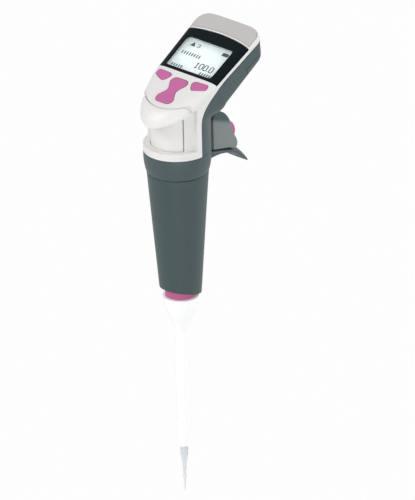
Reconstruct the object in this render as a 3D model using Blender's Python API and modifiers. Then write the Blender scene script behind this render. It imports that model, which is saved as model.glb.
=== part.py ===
"""Electronic pipette with a turning finger rest, a thumb ejector and a motor-driven piston.

Metres, +Z up along the pipette's axis. The origin lies on that axis, in the plane where the
finger rest turns under the housing. -Y is the side of the keys, +Y the side of the hook.
"""

import math

import bmesh
import bpy
from mathutils import Matrix, Vector

MM = 0.001

# Clearances
GAP = 0.3 * MM
SLIDE_GAP = 0.4 * MM

# Neck and head of the housing
BODY_RADIUS = 18.5 * MM
HOUSING_WALL = 2.0 * MM
PIVOT_Y = BODY_RADIUS + 5.5 * MM
PIVOT_Z = 14.0 * MM
FACE_BREAK_Y = 9.8 * MM
FACE_BREAK_Z = 40.1 * MM
DISPLAY_TILT = math.radians(27.5)
KEY_TILT = math.radians(23.0)
UNDER_TILT = math.radians(31.5)
UNDER_START_Z = 23.0 * MM
LCD_WIDTH = 33.0 * MM
HEAD_NECK_HALF_WIDTH = LCD_WIDTH / 2 + 5.4 * MM
HEAD_END_HALF_WIDTH = HEAD_NECK_HALF_WIDTH + 1.4 * MM
HEAD_LENGTH = 42.9 * MM
HEAD_END_THICKNESS = 17.8 * MM
HEAD_END_LEAN = math.radians(24.0)
HEAD_END_ROUND = 2.6 * MM
HEAD_CORNER_ROUND = 4.4 * MM
FACE_SQUARENESS = 8.0
UNDER_SQUARENESS = 3.4
HEAD_SIDES = 44
CAVITY_SIDES = 20

# Seam between the white front and the dark rear shell
SEAM_DROP = 2.3 * MM
SEAM_BEND_LOW = 19.0 * MM
SEAM_BEND_FAR = 17.0 * MM

# Display and crown
BEZEL_BOTTOM_WIDTH = 2 * HEAD_NECK_HALF_WIDTH - 2.0 * MM
BEZEL_TOP_WIDTH = 2 * HEAD_END_HALF_WIDTH - 2.8 * MM
BEZEL_LENGTH = 28.0 * MM
BEZEL_ARC = 2.6 * MM
BEZEL_START = 0.6 * MM
BEZEL_THICKNESS = 1.0 * MM
LCD_LENGTH = 20.6 * MM
LCD_START = 2.6 * MM
LCD_CORNER = 1.8 * MM
LENS_THICKNESS = 0.7 * MM
LCD_MODULE_THICKNESS = 1.6 * MM
LCD_FRAME_WALL = 1.0 * MM
CROWN_STRIP = 1.5 * MM
CROWN_MARGIN = 2.0 * MM
CROWN_THICKNESS = 1.0 * MM

# Keys
KEY_LIFT = 0.9 * MM
KEY_DEPTH = 2.5 * MM
KEY_TRAVEL = 0.7 * MM
KEY_ROUND = 0.35 * MM
SCROLL_LOBE = 6.1 * MM
SCROLL_WAIST = 3.1 * MM
SCROLL_LENGTH = 17.4 * MM
SCROLL_CENTRE = -13.3 * MM
SOFT_KEY_INNER = 8.2 * MM
SOFT_KEY_OUTER = 18.2 * MM
SOFT_KEY_UPPER = -1.5 * MM
SOFT_KEY_LOWER = -8.4 * MM
MAT_THICKNESS = 1.0 * MM

# Thumb ejector
POCKET_FLOOR = 4.0 * MM
POCKET_HALF_ANGLE = math.radians(79.0)
POCKET_RADIUS = BODY_RADIUS - 2.5 * MM
POCKET_TOP = 28.8 * MM
STEM_RADIUS = POCKET_RADIUS - 1.7 * MM
STEM_WALL = 1.5 * MM
STEM_HALF_ANGLE = math.radians(56.0)
STEM_BOTTOM = -2.5 * MM
RIM_RADIUS = BODY_RADIUS + 1.4 * MM
RIM_CENTRE_Y = 4.8 * MM
RIM_LOW = 26.0 * MM
RIM_HALF_ANGLE = math.radians(70.0)
HOOD_HALF_ANGLE = math.radians(69.0)
HOOD_REACH = BODY_RADIUS + 3.3 * MM
HOOD_NOSE_RADIUS = BODY_RADIUS + 0.3 * MM
HOOD_NOSE_DROP = 2.0 * MM
HOOD_EDGE_FALL = 2.6 * MM
HOOD_LIP = 19.2 * MM
HOOD_LIP_RISE = 6.8 * MM
HOOD_WALL = 1.8 * MM
ROD_RADIUS = 0.9 * MM
ROD_OFFSET = 8.4 * MM
ROD_ARM_WIDTH = 6.0 * MM

# Finger rest, hook and trigger
RING_HEIGHT = 12.5 * MM
RING_DRAW = 1.6 * MM
RING_LIP_RADIUS = BODY_RADIUS - RING_DRAW
NECK_TUBE_RADIUS = RING_LIP_RADIUS - 1.3 * MM
NECK_TUBE_WALL = 1.0 * MM
NECK_FLANGE_RADIUS = NECK_TUBE_RADIUS - 3.6 * MM
HOOK_HALF_WIDTH = 8.6 * MM
HOOK_REACH = 50.0 * MM
BLOCK_WIDTH = 16.0 * MM
BLOCK_CLEARANCE = 1.3 * MM
TRIGGER_WIDTH = 11.0 * MM

# Grip
GRIP_TOP_RADIUS = RING_LIP_RADIUS
GRIP_BOTTOM_RADIUS = 11.45 * MM
GRIP_BOTTOM = -84.2 * MM
GRIP_WALL_TOP = 1.8 * MM
GRIP_WALL_BOTTOM = 1.05 * MM
GRIP_RAKE = 0.25

# Lower end: ring, sleeve, cone and tip
SLEEVE_TOP = -74.5 * MM
SLEEVE_COLLAR_RADIUS = 9.0 * MM
SLEEVE_NECK_RADIUS = 7.6 * MM
SHOULDER_Z = -87.3 * MM
FUNNEL_RADIUS = 10.0 * MM
BARREL_TOP = -109.5 * MM
BARREL_BOTTOM = -168.0 * MM
BARREL_RADIUS = 3.95 * MM
SLEEVE_WALL = 0.8 * MM
SLEEVE_END = -178.5 * MM
SLEEVE_END_RADIUS = 2.5 * MM
RING_RADIUS = 8.6 * MM
CONE_NOSE_RADIUS = 1.3 * MM
CONE_NOSE_LENGTH = 5.5 * MM
CONE_BORE = 0.8 * MM
TIP_COLLAR_RADIUS = 2.2 * MM
TIP_LENGTH = 27.1 * MM

# Drive
MOTOR_RADIUS = 7.0 * MM
MOTOR_TOP = -26.0 * MM
MOTOR_LENGTH = 23.7 * MM
PLATE_THICKNESS = 1.4 * MM
LEAD_SCREW_RADIUS = 1.5 * MM
PISTON_RADIUS = 0.5 * MM
PISTON_STROKE = 14.0 * MM
FRAME_RADIUS = 5.6 * MM
FRAME_WALL = 1.2 * MM
FRAME_BOTTOM = -80.3 * MM

# Board, battery and cover
BOARD_THICKNESS = 1.2 * MM
BATTERY_THICKNESS = 4.0 * MM
COVER_SEAM_DEPTH = 8.7 * MM
COVER_START = HEAD_LENGTH - 22.9 * MM


# Scene and material helpers

def clear_scene():
    for item in list(bpy.data.objects):
        bpy.data.objects.remove(item, do_unlink=True)


def make_collection(name):
    group = bpy.data.collections.new(name)
    bpy.context.scene.collection.children.link(group)
    return group


def make_material(name, colour, roughness, metallic=0.0):
    made = bpy.data.materials.new(name)
    made.use_nodes = True
    shader = made.node_tree.nodes["Principled BSDF"]
    shader.inputs["Base Color"].default_value = (*colour, 1.0)
    shader.inputs["Roughness"].default_value = roughness
    shader.inputs["Metallic"].default_value = metallic
    return made


clear_scene()
PARTS = make_collection("electronic_pipette")
CUTTERS = make_collection("cutters")


def place(name, mesh, colour=(0.8, 0.8, 0.8), roughness=0.5, metallic=0.0, smooth=30.0):
    """One sub-part: its mesh, its own material and smooth round faces."""
    item = bpy.data.objects.new(name, mesh)
    PARTS.objects.link(item)
    mesh.shade_smooth()
    mesh.set_sharp_from_angle(angle=math.radians(smooth))
    mesh.materials.append(make_material(name + "_finish", colour, roughness, metallic))
    return item


def cutter(name, mesh):
    item = bpy.data.objects.new(name, mesh)
    CUTTERS.objects.link(item)
    item.hide_render = True
    item.display_type = "WIRE"
    return item


def boolean(target, tool, operation="DIFFERENCE"):
    change = target.modifiers.new(tool.name, "BOOLEAN")
    change.operation = operation
    change.object = tool
    return change


# Shape helpers

def finish_mesh(name, shape):
    bmesh.ops.recalc_face_normals(shape, faces=shape.faces)
    mesh = bpy.data.meshes.new(name)
    shape.to_mesh(mesh)
    shape.free()
    return mesh


def loft(name, rings, closed=False):
    """Skin a row of equal rings; an open row is capped at both ends."""
    shape = bmesh.new()
    rows = []
    for ring in rings:
        rows.append([shape.verts.new(point) for point in ring])
    count = len(rows[0])
    pairs = list(zip(rows[:-1], rows[1:]))
    if closed:
        pairs.append((rows[-1], rows[0]))
    for lower, upper in pairs:
        for index in range(count):
            after = (index + 1) % count
            shape.faces.new((lower[index], lower[after], upper[after], upper[index]))
    if not closed:
        shape.faces.new(list(reversed(rows[0])))
        shape.faces.new(rows[-1])
    return finish_mesh(name, shape)


def box_mesh(name, size, centre):
    shape = bmesh.new()
    bmesh.ops.create_cube(shape, size=1.0)
    bmesh.ops.scale(shape, vec=size, verts=shape.verts)
    bmesh.ops.translate(shape, vec=centre, verts=shape.verts)
    return finish_mesh(name, shape)


def rod_mesh(name, radius, low, high, x=0.0, y=0.0, steps=24):
    """A plain round bar along Z from low to high."""
    shape = bmesh.new()
    bmesh.ops.create_cone(
        shape, cap_ends=True, segments=steps, radius1=radius, radius2=radius, depth=high - low)
    bmesh.ops.translate(shape, vec=(x, y, (low + high) / 2), verts=shape.verts)
    return finish_mesh(name, shape)


def outline_mesh(name, points, low, high, turn=None):
    """A flat outline drawn in X and Y, as thick as from low to high along Z, then turned."""
    drawn = bpy.data.curves.new(name, "CURVE")
    drawn.dimensions = "2D"
    drawn.fill_mode = "BOTH"
    drawn.extrude = (high - low) / 2
    line = drawn.splines.new("POLY")
    line.points.add(len(points) - 1)
    for knot, point in zip(line.points, points):
        knot.co = (point[0], point[1], 0.0, 1.0)
    line.use_cyclic_u = True
    holder = bpy.data.objects.new(name, drawn)
    CUTTERS.objects.link(holder)
    graph = bpy.context.evaluated_depsgraph_get()
    mesh = bpy.data.meshes.new_from_object(holder.evaluated_get(graph))
    bpy.data.objects.remove(holder, do_unlink=True)
    mesh.transform(Matrix.Translation((0.0, 0.0, (low + high) / 2)))
    if turn is not None:
        mesh.transform(turn)
    shape = bmesh.new()
    shape.from_mesh(mesh)
    bmesh.ops.remove_doubles(shape, verts=shape.verts, dist=0.001 * MM)
    bmesh.ops.recalc_face_normals(shape, faces=shape.faces)
    shape.to_mesh(mesh)
    shape.free()
    mesh.name = name
    return mesh


# Turns a drawing of (Y, Z) points with its thickness along Z into one with its thickness along X
SIDE_VIEW = Matrix(((0, 0, 1, 0), (1, 0, 0, 0), (0, 1, 0, 0), (0, 0, 0, 1)))


def turned_mesh(name, profile, closed=False):
    """The half profile of a turned piece as (radius, height) points, outer side downwards."""
    mesh = bpy.data.meshes.new(name)
    points = [(radius, 0.0, height) for radius, height in profile]
    edges = [(index, index + 1) for index in range(len(points) - 1)]
    if closed:
        edges.append((len(points) - 1, 0))
    mesh.from_pydata(points, edges, [])
    return mesh


def turned(name, profile, steps, closed, smooth=30.0, **finish):
    item = place(name, turned_mesh(name, profile, closed), smooth=smooth, **finish)
    spin(item, steps)
    return item


def spin(item, steps):
    screw = item.modifiers.new("turning", "SCREW")
    screw.steps = steps
    screw.render_steps = steps
    screw.use_merge_vertices = True
    screw.merge_threshold = 0.005 * MM
    screw.use_smooth_shade = True
    return screw


def ring_profile(outer, inner, top, bottom):
    """Closed profile of a plain ring."""
    return [(outer, top), (outer, bottom), (inner, bottom), (inner, top)]


COIL_STEPS = 8


def coil(name, centre, radius, wire, low, high, turns):
    """A compression spring along Z, its wire's ends flat on the coil."""
    drawn = bpy.data.curves.new(name, "CURVE")
    drawn.dimensions = "3D"
    drawn.bevel_depth = wire
    drawn.bevel_resolution = 1
    drawn.use_fill_caps = True
    count = turns * COIL_STEPS
    line = drawn.splines.new("POLY")
    line.points.add(count)
    for index in range(count + 1):
        angle = math.tau * turns * index / count
        rise = low + wire + (high - low - 2 * wire) * index / count
        line.points[index].co = (
            centre[0] + radius * math.cos(angle), centre[1] + radius * math.sin(angle), rise, 1.0)
    item = bpy.data.objects.new(name, drawn)
    PARTS.objects.link(item)
    drawn.materials.append(make_material(name + "_finish", (0.6, 0.62, 0.64), 0.3, 1.0))
    return item


def smooth_min(first, second, width):
    blend = max(width - abs(first - second), 0.0) / width
    return min(first, second) - blend * blend * width / 4


def smooth_step(low, high, value):
    share = min(max((value - low) / (high - low), 0.0), 1.0)
    return share * share * (3 - 2 * share)


def mix(first, second, share):
    return first + (second - first) * share


# Head form: sections fan round a pivot behind the neck, then run on along the tilted head

FACE_BREAK = Vector((0.0, FACE_BREAK_Y, FACE_BREAK_Z))
PIVOT = Vector((0.0, PIVOT_Y, PIVOT_Z))
UNDER_START = Vector((0.0, BODY_RADIUS, UNDER_START_Z))
HEAD_TURN = Matrix.Translation(FACE_BREAK) @ Matrix.Rotation(DISPLAY_TILT, 4, "X")
KEY_TURN = Matrix.Translation(FACE_BREAK) @ Matrix.Rotation(KEY_TILT, 4, "X")
FAN_END = math.pi / 2 - DISPLAY_TILT
FAN_STEPS = 10
SLAB_STEPS = 3
ROUND_STEPS = 3
BLEND = 4.0 * MM


def plane_distance(ray, point, tilt):
    """How far along a ray from the pivot a tilted plane lies."""
    normal = Vector((0.0, -math.sin(tilt), math.cos(tilt)))
    return (point - PIVOT).dot(normal) / ray.dot(normal)


def fan_ends(angle):
    """Upper and under end of the section at this angle of the fan."""
    ray = Vector((0.0, -math.cos(angle), math.sin(angle)))
    keys = plane_distance(ray, FACE_BREAK, KEY_TILT)
    display = plane_distance(ray, FACE_BREAK, DISPLAY_TILT)
    face = -smooth_min(-keys, -display, BLEND)
    front = smooth_min((PIVOT_Y + BODY_RADIUS) / math.cos(angle), face, BLEND)
    under = plane_distance(ray, UNDER_START, UNDER_TILT)
    back = smooth_min((PIVOT_Y - BODY_RADIUS) / math.cos(angle), under, BLEND)
    return PIVOT + ray * front, PIVOT + ray * back


def section(top, under, half_width, top_power, under_power, sides):
    """One closed section: a squared oval between its upper and its under end."""
    middle = (top + under) / 2
    half = (top - under) / 2
    ring = []
    for index in range(sides):
        angle = math.tau * (index + 0.5) / sides
        across, up = math.cos(angle), math.sin(angle)
        power = 2.0 / (top_power if up > 0 else under_power)
        wide = math.copysign(abs(across) ** power, across) * half_width
        high = math.copysign(abs(up) ** power, up)
        ring.append(middle + half * high + Vector((wide, 0.0, 0.0)))
    return ring


def head_mesh(name, inset, low, sides=HEAD_SIDES):
    """The outside of neck and head, made smaller all round by the inset."""
    rings = []

    def add(top, under, half_width, top_power, under_power):
        along = (top - under).normalized() * inset
        rings.append(section(
            top - along, under + along, half_width - inset, top_power, under_power, sides))

    front = Vector((0.0, -BODY_RADIUS, low))
    rear = Vector((0.0, BODY_RADIUS, low))
    add(front, rear, BODY_RADIUS, 2.0, 2.0)
    for step in range(FAN_STEPS + 1):
        angle = FAN_END * step / FAN_STEPS
        top, under = fan_ends(angle)
        spread = smooth_step(math.radians(8), FAN_END, angle)
        square = smooth_step(math.radians(10), math.radians(60), angle)
        flat = smooth_step(math.radians(20), FAN_END, angle)
        add(top, under, mix(BODY_RADIUS, HEAD_NECK_HALF_WIDTH, spread),
            mix(2.0, FACE_SQUARENESS, square), mix(2.0, UNDER_SQUARENESS, flat))

    lean = math.pi / 2 + DISPLAY_TILT - HEAD_END_LEAN
    rise = Vector((0.0, math.cos(lean), math.sin(lean)))
    outward = Vector((0.0, math.sin(lean), -math.cos(lean)))
    end_top = HEAD_TURN @ Vector((0.0, HEAD_LENGTH, 0.0)) - outward * (HEAD_END_ROUND + inset)
    end_under = end_top - rise * HEAD_END_THICKNESS
    for step in range(1, SLAB_STEPS + 1):
        share = step / SLAB_STEPS
        add(top.lerp(end_top, share), under.lerp(end_under, share),
            mix(HEAD_NECK_HALF_WIDTH, HEAD_END_HALF_WIDTH, share),
            FACE_SQUARENESS, UNDER_SQUARENESS)
    for step in range(1, ROUND_STEPS + 1):
        turn = math.pi / 2 * step / ROUND_STEPS
        pulled = HEAD_END_ROUND * (1 - math.cos(turn))
        reach = outward * (HEAD_END_ROUND * math.sin(turn))
        add(end_top + reach - rise * pulled, end_under + reach + rise * pulled,
            HEAD_END_HALF_WIDTH - pulled * HEAD_CORNER_ROUND / HEAD_END_ROUND,
            FACE_SQUARENESS, UNDER_SQUARENESS)
    return loft(name, rings)


def sector_outline(inner, outer, half_angle, steps=16):
    """Part of a ring about the axis, centred on the -Y side."""
    points = []
    for radius, order in ((outer, 1), (inner, -1)):
        for step in range(steps + 1):
            angle = order * half_angle * (2 * step / steps - 1)
            points.append((radius * math.sin(angle), -radius * math.cos(angle)))
    return points


def rounded_outline(half_width, low, high, corner, steps=4):
    points = []
    middles = ((half_width - corner, high - corner, 0), (corner - half_width, high - corner, 90),
               (corner - half_width, low + corner, 180), (half_width - corner, low + corner, 270))
    for x, y, start in middles:
        for step in range(steps + 1):
            angle = math.radians(start + 90 * step / steps)
            points.append((x + corner * math.cos(angle), y + corner * math.sin(angle)))
    return points


def seam_outline(shift, side):
    """Everything in front of (side -1) or behind (side 1) the seam, as (Y, Z) points."""
    far = HEAD_TURN @ Vector((0.0, 80.0 * MM, -SEAM_DROP))
    along = (SEAM_BEND_FAR - FACE_BREAK_Y) / math.cos(DISPLAY_TILT)
    join = HEAD_TURN @ Vector((0.0, along, -SEAM_DROP))
    corner_z = join.z - join.y * math.tan(DISPLAY_TILT)
    points = [(shift, -5.0 * MM)]
    steps = 10
    for step in range(steps + 1):
        share = step / steps
        lower = (1 - share) ** 2
        middle = 2 * share * (1 - share)
        y = join.y * share ** 2
        z = SEAM_BEND_LOW * lower + corner_z * middle + join.z * share ** 2
        points.append((y + shift, z - shift))
    points.append((far.y + shift, far.z - shift))
    edge = 100.0 * MM
    if side < 0:
        points += [(far.y, edge), (-edge, edge), (-edge, -5.0 * MM)]
    else:
        points += [(edge, -5.0 * MM)]
    return points


HALF_GAP = GAP / 2
CAVITY_LOW = -3.0 * MM
HEAD_REACH = 30.0 * MM

front_side = cutter("front_side", outline_mesh(
    "front_side", seam_outline(-HALF_GAP, -1), -HEAD_REACH, HEAD_REACH, SIDE_VIEW))
rear_side = cutter("rear_side", outline_mesh(
    "rear_side", seam_outline(HALF_GAP, 1), -HEAD_REACH, HEAD_REACH, SIDE_VIEW))

# The thumb pocket, and the wall that closes the housing behind it
MID_POCKET_RADIUS = STEM_RADIUS - STEM_WALL - GAP
MID_POCKET_HALF_ANGLE = STEM_HALF_ANGLE + math.radians(1.6)
MID_POCKET_TOP = POCKET_TOP - 1.6 * MM
POCKET_OUTER = BODY_RADIUS + 12.0 * MM
pocket = cutter("pocket", outline_mesh(
    "pocket", sector_outline(POCKET_RADIUS, POCKET_OUTER, POCKET_HALF_ANGLE), POCKET_FLOOR, POCKET_TOP))
mid_pocket = cutter("mid_pocket", outline_mesh(
    "mid_pocket", sector_outline(MID_POCKET_RADIUS, POCKET_OUTER, MID_POCKET_HALF_ANGLE),
    POCKET_FLOOR, MID_POCKET_TOP))
LINER_SPREAD = HOUSING_WALL / POCKET_RADIUS
liner = cutter("liner", outline_mesh(
    "liner", sector_outline(POCKET_RADIUS - HOUSING_WALL, POCKET_OUTER, POCKET_HALF_ANGLE + LINER_SPREAD),
    POCKET_FLOOR - HOUSING_WALL, POCKET_TOP + HOUSING_WALL))
mid_liner = cutter("mid_liner", outline_mesh(
    "mid_liner", sector_outline(
        MID_POCKET_RADIUS - HOUSING_WALL, POCKET_OUTER + MM, MID_POCKET_HALF_ANGLE + LINER_SPREAD),
    POCKET_FLOOR - HOUSING_WALL * 0.99, MID_POCKET_TOP + HOUSING_WALL))



def rim_distance(angle, radius):
    """How far the arc that ends the key face lies from the axis, at this angle from the front."""
    along = RIM_CENTRE_Y * math.cos(angle)
    return math.sqrt(along ** 2 + radius ** 2 - RIM_CENTRE_Y ** 2) - along


def rim_block(name, radius, half_angle, low):
    """All that lies in front of the arc, above the given level."""
    points = []
    steps = 24
    for step in range(steps + 1):
        angle = half_angle * (2 * step / steps - 1)
        distance = rim_distance(angle, radius)
        points.append((distance * math.sin(angle), -distance * math.cos(angle)))
    for angle in (half_angle, -half_angle):
        points.append((POCKET_OUTER * math.sin(angle), -POCKET_OUTER * math.cos(angle)))
    points.insert(-1, (0.0, -POCKET_OUTER * 2))
    return cutter(name, outline_mesh(name, points, low, 3 * RIM_LOW))


rim_recess = rim_block("rim_recess", RIM_RADIUS - GAP, RIM_HALF_ANGLE, RIM_LOW)
rim_liner = rim_block("rim_liner", RIM_RADIUS - GAP - 1.2 * HOUSING_WALL,
                      RIM_HALF_ANGLE + LINER_SPREAD, RIM_LOW - HOUSING_WALL)

cavity = cutter("cavity", head_mesh("cavity", HOUSING_WALL, CAVITY_LOW, CAVITY_SIDES))
front_cavity = cutter("front_cavity", cavity.data)
boolean(front_cavity, rim_liner)
boolean(front_cavity, liner)
boolean(front_cavity, mid_liner)

stem_slot = cutter("stem_slot", outline_mesh(
    "stem_slot", sector_outline(
        STEM_RADIUS - STEM_WALL - GAP * 0.8, STEM_RADIUS + GAP, STEM_HALF_ANGLE + math.radians(1.2)),
    POCKET_FLOOR - HOUSING_WALL - MM, POCKET_FLOOR + MM))


# Display, crown and keys: outlines drawn on the face of the head

def bezel_outline(grow):
    base, top = BEZEL_START - grow, BEZEL_START + BEZEL_LENGTH + grow
    low_half, high_half = BEZEL_BOTTOM_WIDTH / 2 + grow, BEZEL_TOP_WIDTH / 2 + grow
    points = [(-low_half, base), (low_half, base)]
    steps = 12
    for step in range(steps + 1):
        x = high_half * (1 - 2 * step / steps)
        points.append((x, top + BEZEL_ARC * (1 - (x / high_half) ** 2)))
    return points


def crown_outline(grow):
    start = BEZEL_START + BEZEL_LENGTH + CROWN_STRIP - grow
    half = HEAD_END_HALF_WIDTH - CROWN_MARGIN + grow
    points = [(half, HEAD_LENGTH * 2), (-half, HEAD_LENGTH * 2)]
    steps = 12
    for step in range(steps + 1):
        x = half * (2 * step / steps - 1)
        points.append((x, start + BEZEL_ARC * (1 - (x / half) ** 2)))
    return points


def skin_panel(name, outline, low, thickness, **finish):
    """A panel that lies in the face of the head, cut from the head's own form."""
    panel = place(name, head_mesh(name, 0.0, 0.0), **finish)
    edge = outline_mesh(name + "_edge", outline, low, HEAD_REACH, HEAD_TURN)
    boolean(panel, cutter(name + "_edge", edge), "INTERSECT")
    boolean(panel, cutter(name + "_back", head_mesh(name + "_back", thickness, 0.0)))
    return panel


def skin_recess(name, outline, low, depth):
    """The recess that takes such a panel."""
    recess = cutter(name, outline_mesh(name, outline, low, HEAD_REACH, HEAD_TURN))
    boolean(recess, cutter(name + "_floor", head_mesh(name + "_floor", depth, 0.0)))
    return recess


WHITE = (0.84, 0.83, 0.81)
DARK = (0.085, 0.115, 0.12)
PINK = (0.62, 0.09, 0.36)
STEEL = (0.6, 0.61, 0.62)
PANEL_LOW = -6.0 * MM
BEZEL_LOW = -1.6 * MM
CROWN_LOW = -1.3 * MM

front_housing = place("front_housing", head_mesh("front_housing", 0.0, 0.0), WHITE, 0.38)
boolean(front_housing, front_side, "INTERSECT")
boolean(front_housing, front_cavity)
boolean(front_housing, pocket)
boolean(front_housing, mid_pocket)
boolean(front_housing, rim_recess)
boolean(front_housing, stem_slot)

skin_panel("display_bezel", bezel_outline(0.0), BEZEL_LOW, BEZEL_THICKNESS,
           colour=(0.01, 0.016, 0.02), roughness=0.12)
lcd_opening = cutter("lcd_opening", outline_mesh("lcd_opening", rounded_outline(
    LCD_WIDTH / 2, LCD_START, LCD_START + LCD_LENGTH, LCD_CORNER), PANEL_LOW, HEAD_REACH, HEAD_TURN))
boolean(bpy.data.objects["display_bezel"], lcd_opening)
boolean(front_housing, skin_recess(
    "bezel_recess", bezel_outline(GAP), BEZEL_LOW - GAP, BEZEL_THICKNESS + GAP))

MODULE_MARGIN = 1.2 * MM
module_opening = cutter("module_opening", box_mesh("module_opening", (
    LCD_WIDTH + 2 * (MODULE_MARGIN + GAP), LCD_LENGTH + 2 * (MODULE_MARGIN + GAP), 20 * MM), (
    0.0, LCD_START + LCD_LENGTH / 2, 0.0)))
module_opening.data.transform(HEAD_TURN)
boolean(front_housing, module_opening)

skin_panel("crown_panel", crown_outline(0.0), CROWN_LOW, CROWN_THICKNESS,
           colour=(0.69, 0.68, 0.67), roughness=0.4)
boolean(front_housing, skin_recess(
    "crown_recess", crown_outline(GAP), CROWN_LOW - GAP, CROWN_THICKNESS + GAP))


def turned_box(name, size, centre, turn, bevel=0.0, **finish):
    """A block placed on the tilted face, with its own origin there."""
    item = place(name, box_mesh(name, size, (0.0, 0.0, 0.0)), **finish)
    item.matrix_world = turn @ Matrix.Translation(centre)
    if bevel > 0:
        edge = item.modifiers.new("edges", "BEVEL")
        edge.width = bevel
        edge.segments = 2
    return item


LCD_MIDDLE = LCD_START + LCD_LENGTH / 2
LENS_TOP = -0.35 * MM
MODULE_TOP = LENS_TOP - LENS_THICKNESS - GAP
lens = place("display_lens", outline_mesh("display_lens", rounded_outline(
    LCD_WIDTH / 2 - GAP, LCD_START + GAP, LCD_START + LCD_LENGTH - GAP, LCD_CORNER - GAP),
    LENS_TOP - LENS_THICKNESS, LENS_TOP, HEAD_TURN), (0.85, 0.9, 0.92), 0.05)
turned_box("lcd_module", (
    LCD_WIDTH + 2 * MODULE_MARGIN, LCD_LENGTH + 2 * MODULE_MARGIN, LCD_MODULE_THICKNESS), (
    0.0, LCD_MIDDLE, MODULE_TOP - LCD_MODULE_THICKNESS / 2), HEAD_TURN,
    colour=(0.7, 0.78, 0.8), roughness=0.3)


# Frame behind the display, keys and their mat

FRAME_FLOOR = 2.0 * MM
FRAME_LOW = MODULE_TOP - LCD_MODULE_THICKNESS - FRAME_FLOOR
FRAME_HIGH = -HOUSING_WALL - GAP
frame_outline = rounded_outline(
    LCD_WIDTH / 2 + MODULE_MARGIN + GAP + LCD_FRAME_WALL, LCD_START - MODULE_MARGIN - GAP - LCD_FRAME_WALL,
    LCD_START + LCD_LENGTH + MODULE_MARGIN + GAP + LCD_FRAME_WALL, LCD_FRAME_WALL)
lcd_frame = place("lcd_frame", outline_mesh(
    "lcd_frame", frame_outline, FRAME_LOW, FRAME_HIGH, HEAD_TURN), (0.75, 0.75, 0.74), 0.5)
frame_pocket = cutter("frame_pocket", box_mesh("frame_pocket", (
    LCD_WIDTH + 2 * (MODULE_MARGIN + GAP), LCD_LENGTH + 2 * (MODULE_MARGIN + GAP), 20 * MM), (
    0.0, LCD_MIDDLE, MODULE_TOP - LCD_MODULE_THICKNESS - GAP + 10 * MM)))
frame_pocket.data.transform(HEAD_TURN)
boolean(lcd_frame, frame_pocket)


def scroll_outline(grow):
    """The waisted scroll key, drawn as one wavy side and its mirror image."""
    points = []
    steps = 14
    half = SCROLL_LENGTH / 2 + grow
    for side in (1, -1):
        for step in range(steps + 1):
            share = 2 * step / steps - 1
            swell = math.sin(min(abs(share) * 1.28, 1.0) * math.pi / 2) ** 2
            ends = math.sqrt(max(1 - max(abs(share) * 1.9 - 0.9, 0.0) ** 2, 0.0))
            x = (mix(SCROLL_WAIST, SCROLL_LOBE, swell) + grow) * (0.5 + 0.5 * ends)
            points.append((side * x, SCROLL_CENTRE + side * half * share))
    return points


def soft_key_outline(grow):
    """The right soft key: blunt towards the middle, running to a point at the side."""
    inner, outer = SOFT_KEY_INNER - grow, SOFT_KEY_OUTER + grow
    low, high = SOFT_KEY_LOWER - grow, SOFT_KEY_UPPER + grow
    length, height = outer - inner, high - low
    return [(inner + 0.02 * length, low + 0.14 * height), (inner + 0.1 * length, low),
            (inner + 0.62 * length, low), (inner + 0.76 * length, low + 0.1 * height),
            (inner + 0.97 * length, low + 0.52 * height), (outer, low + 0.66 * height),
            (inner + 0.92 * length, low + 0.76 * height), (inner + 0.2 * length, high),
            (inner + 0.06 * length, high - 0.05 * height), (inner, high - 0.2 * height)]


def mirrored(points):
    return [(-x, y) for x, y in reversed(points)]


KEY_OUTLINES = {
    "key_scroll": scroll_outline,
    "key_right": soft_key_outline,
    "key_left": lambda grow: mirrored(soft_key_outline(grow)),
}
for name, draw in KEY_OUTLINES.items():
    key = place(name, outline_mesh(
        name, draw(0.0), KEY_LIFT - KEY_DEPTH, KEY_LIFT, KEY_TURN), PINK, 0.42)
    rounding = key.modifiers.new("rounded_edges", "BEVEL")
    rounding.width = KEY_ROUND
    rounding.segments = 2
    rounding.limit_method = "ANGLE"
    rounding.angle_limit = math.radians(60)
    boolean(front_housing, cutter(name + "_hole", outline_mesh(
        name + "_hole", draw(GAP), KEY_LIFT - KEY_DEPTH - KEY_TRAVEL - 2 * GAP, HEAD_REACH, KEY_TURN)))

MAT_TOP = KEY_LIFT - KEY_DEPTH - KEY_TRAVEL - GAP - 1.4 * MM
MAT_LOW, MAT_HIGH = SCROLL_CENTRE - 3.6 * MM, SOFT_KEY_UPPER + 0.6 * MM
MAT_HALF_WIDTH = 11.5 * MM
place("keypad_mat", outline_mesh("keypad_mat", rounded_outline(
    MAT_HALF_WIDTH, MAT_LOW, MAT_HIGH, 2.0 * MM), MAT_TOP - MAT_THICKNESS, MAT_TOP, KEY_TURN),
    (0.3, 0.3, 0.32), 0.7)


# Rear shell, battery cover and what they hold

rear_housing = place("rear_housing", head_mesh("rear_housing", 0.0, 0.0), DARK, 0.42)
boolean(rear_housing, rear_side, "INTERSECT")
boolean(rear_housing, cavity)


def cover_block(name, grow):
    """The corner of the head that the battery cover takes up."""
    start = COVER_START - grow
    top = -COVER_SEAM_DEPTH + grow
    block = box_mesh(name, (80 * MM, 60 * MM, 40 * MM), (0.0, start + 30 * MM, top - 20 * MM))
    block.transform(HEAD_TURN)
    return cutter(name, block)


boolean(rear_housing, cover_block("cover_opening", HALF_GAP))
battery_cover = place("battery_cover", head_mesh("battery_cover", 0.0, 0.0), DARK, 0.42)
boolean(battery_cover, cover_block("cover_part", -HALF_GAP), "INTERSECT")
boolean(battery_cover, cavity)

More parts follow.
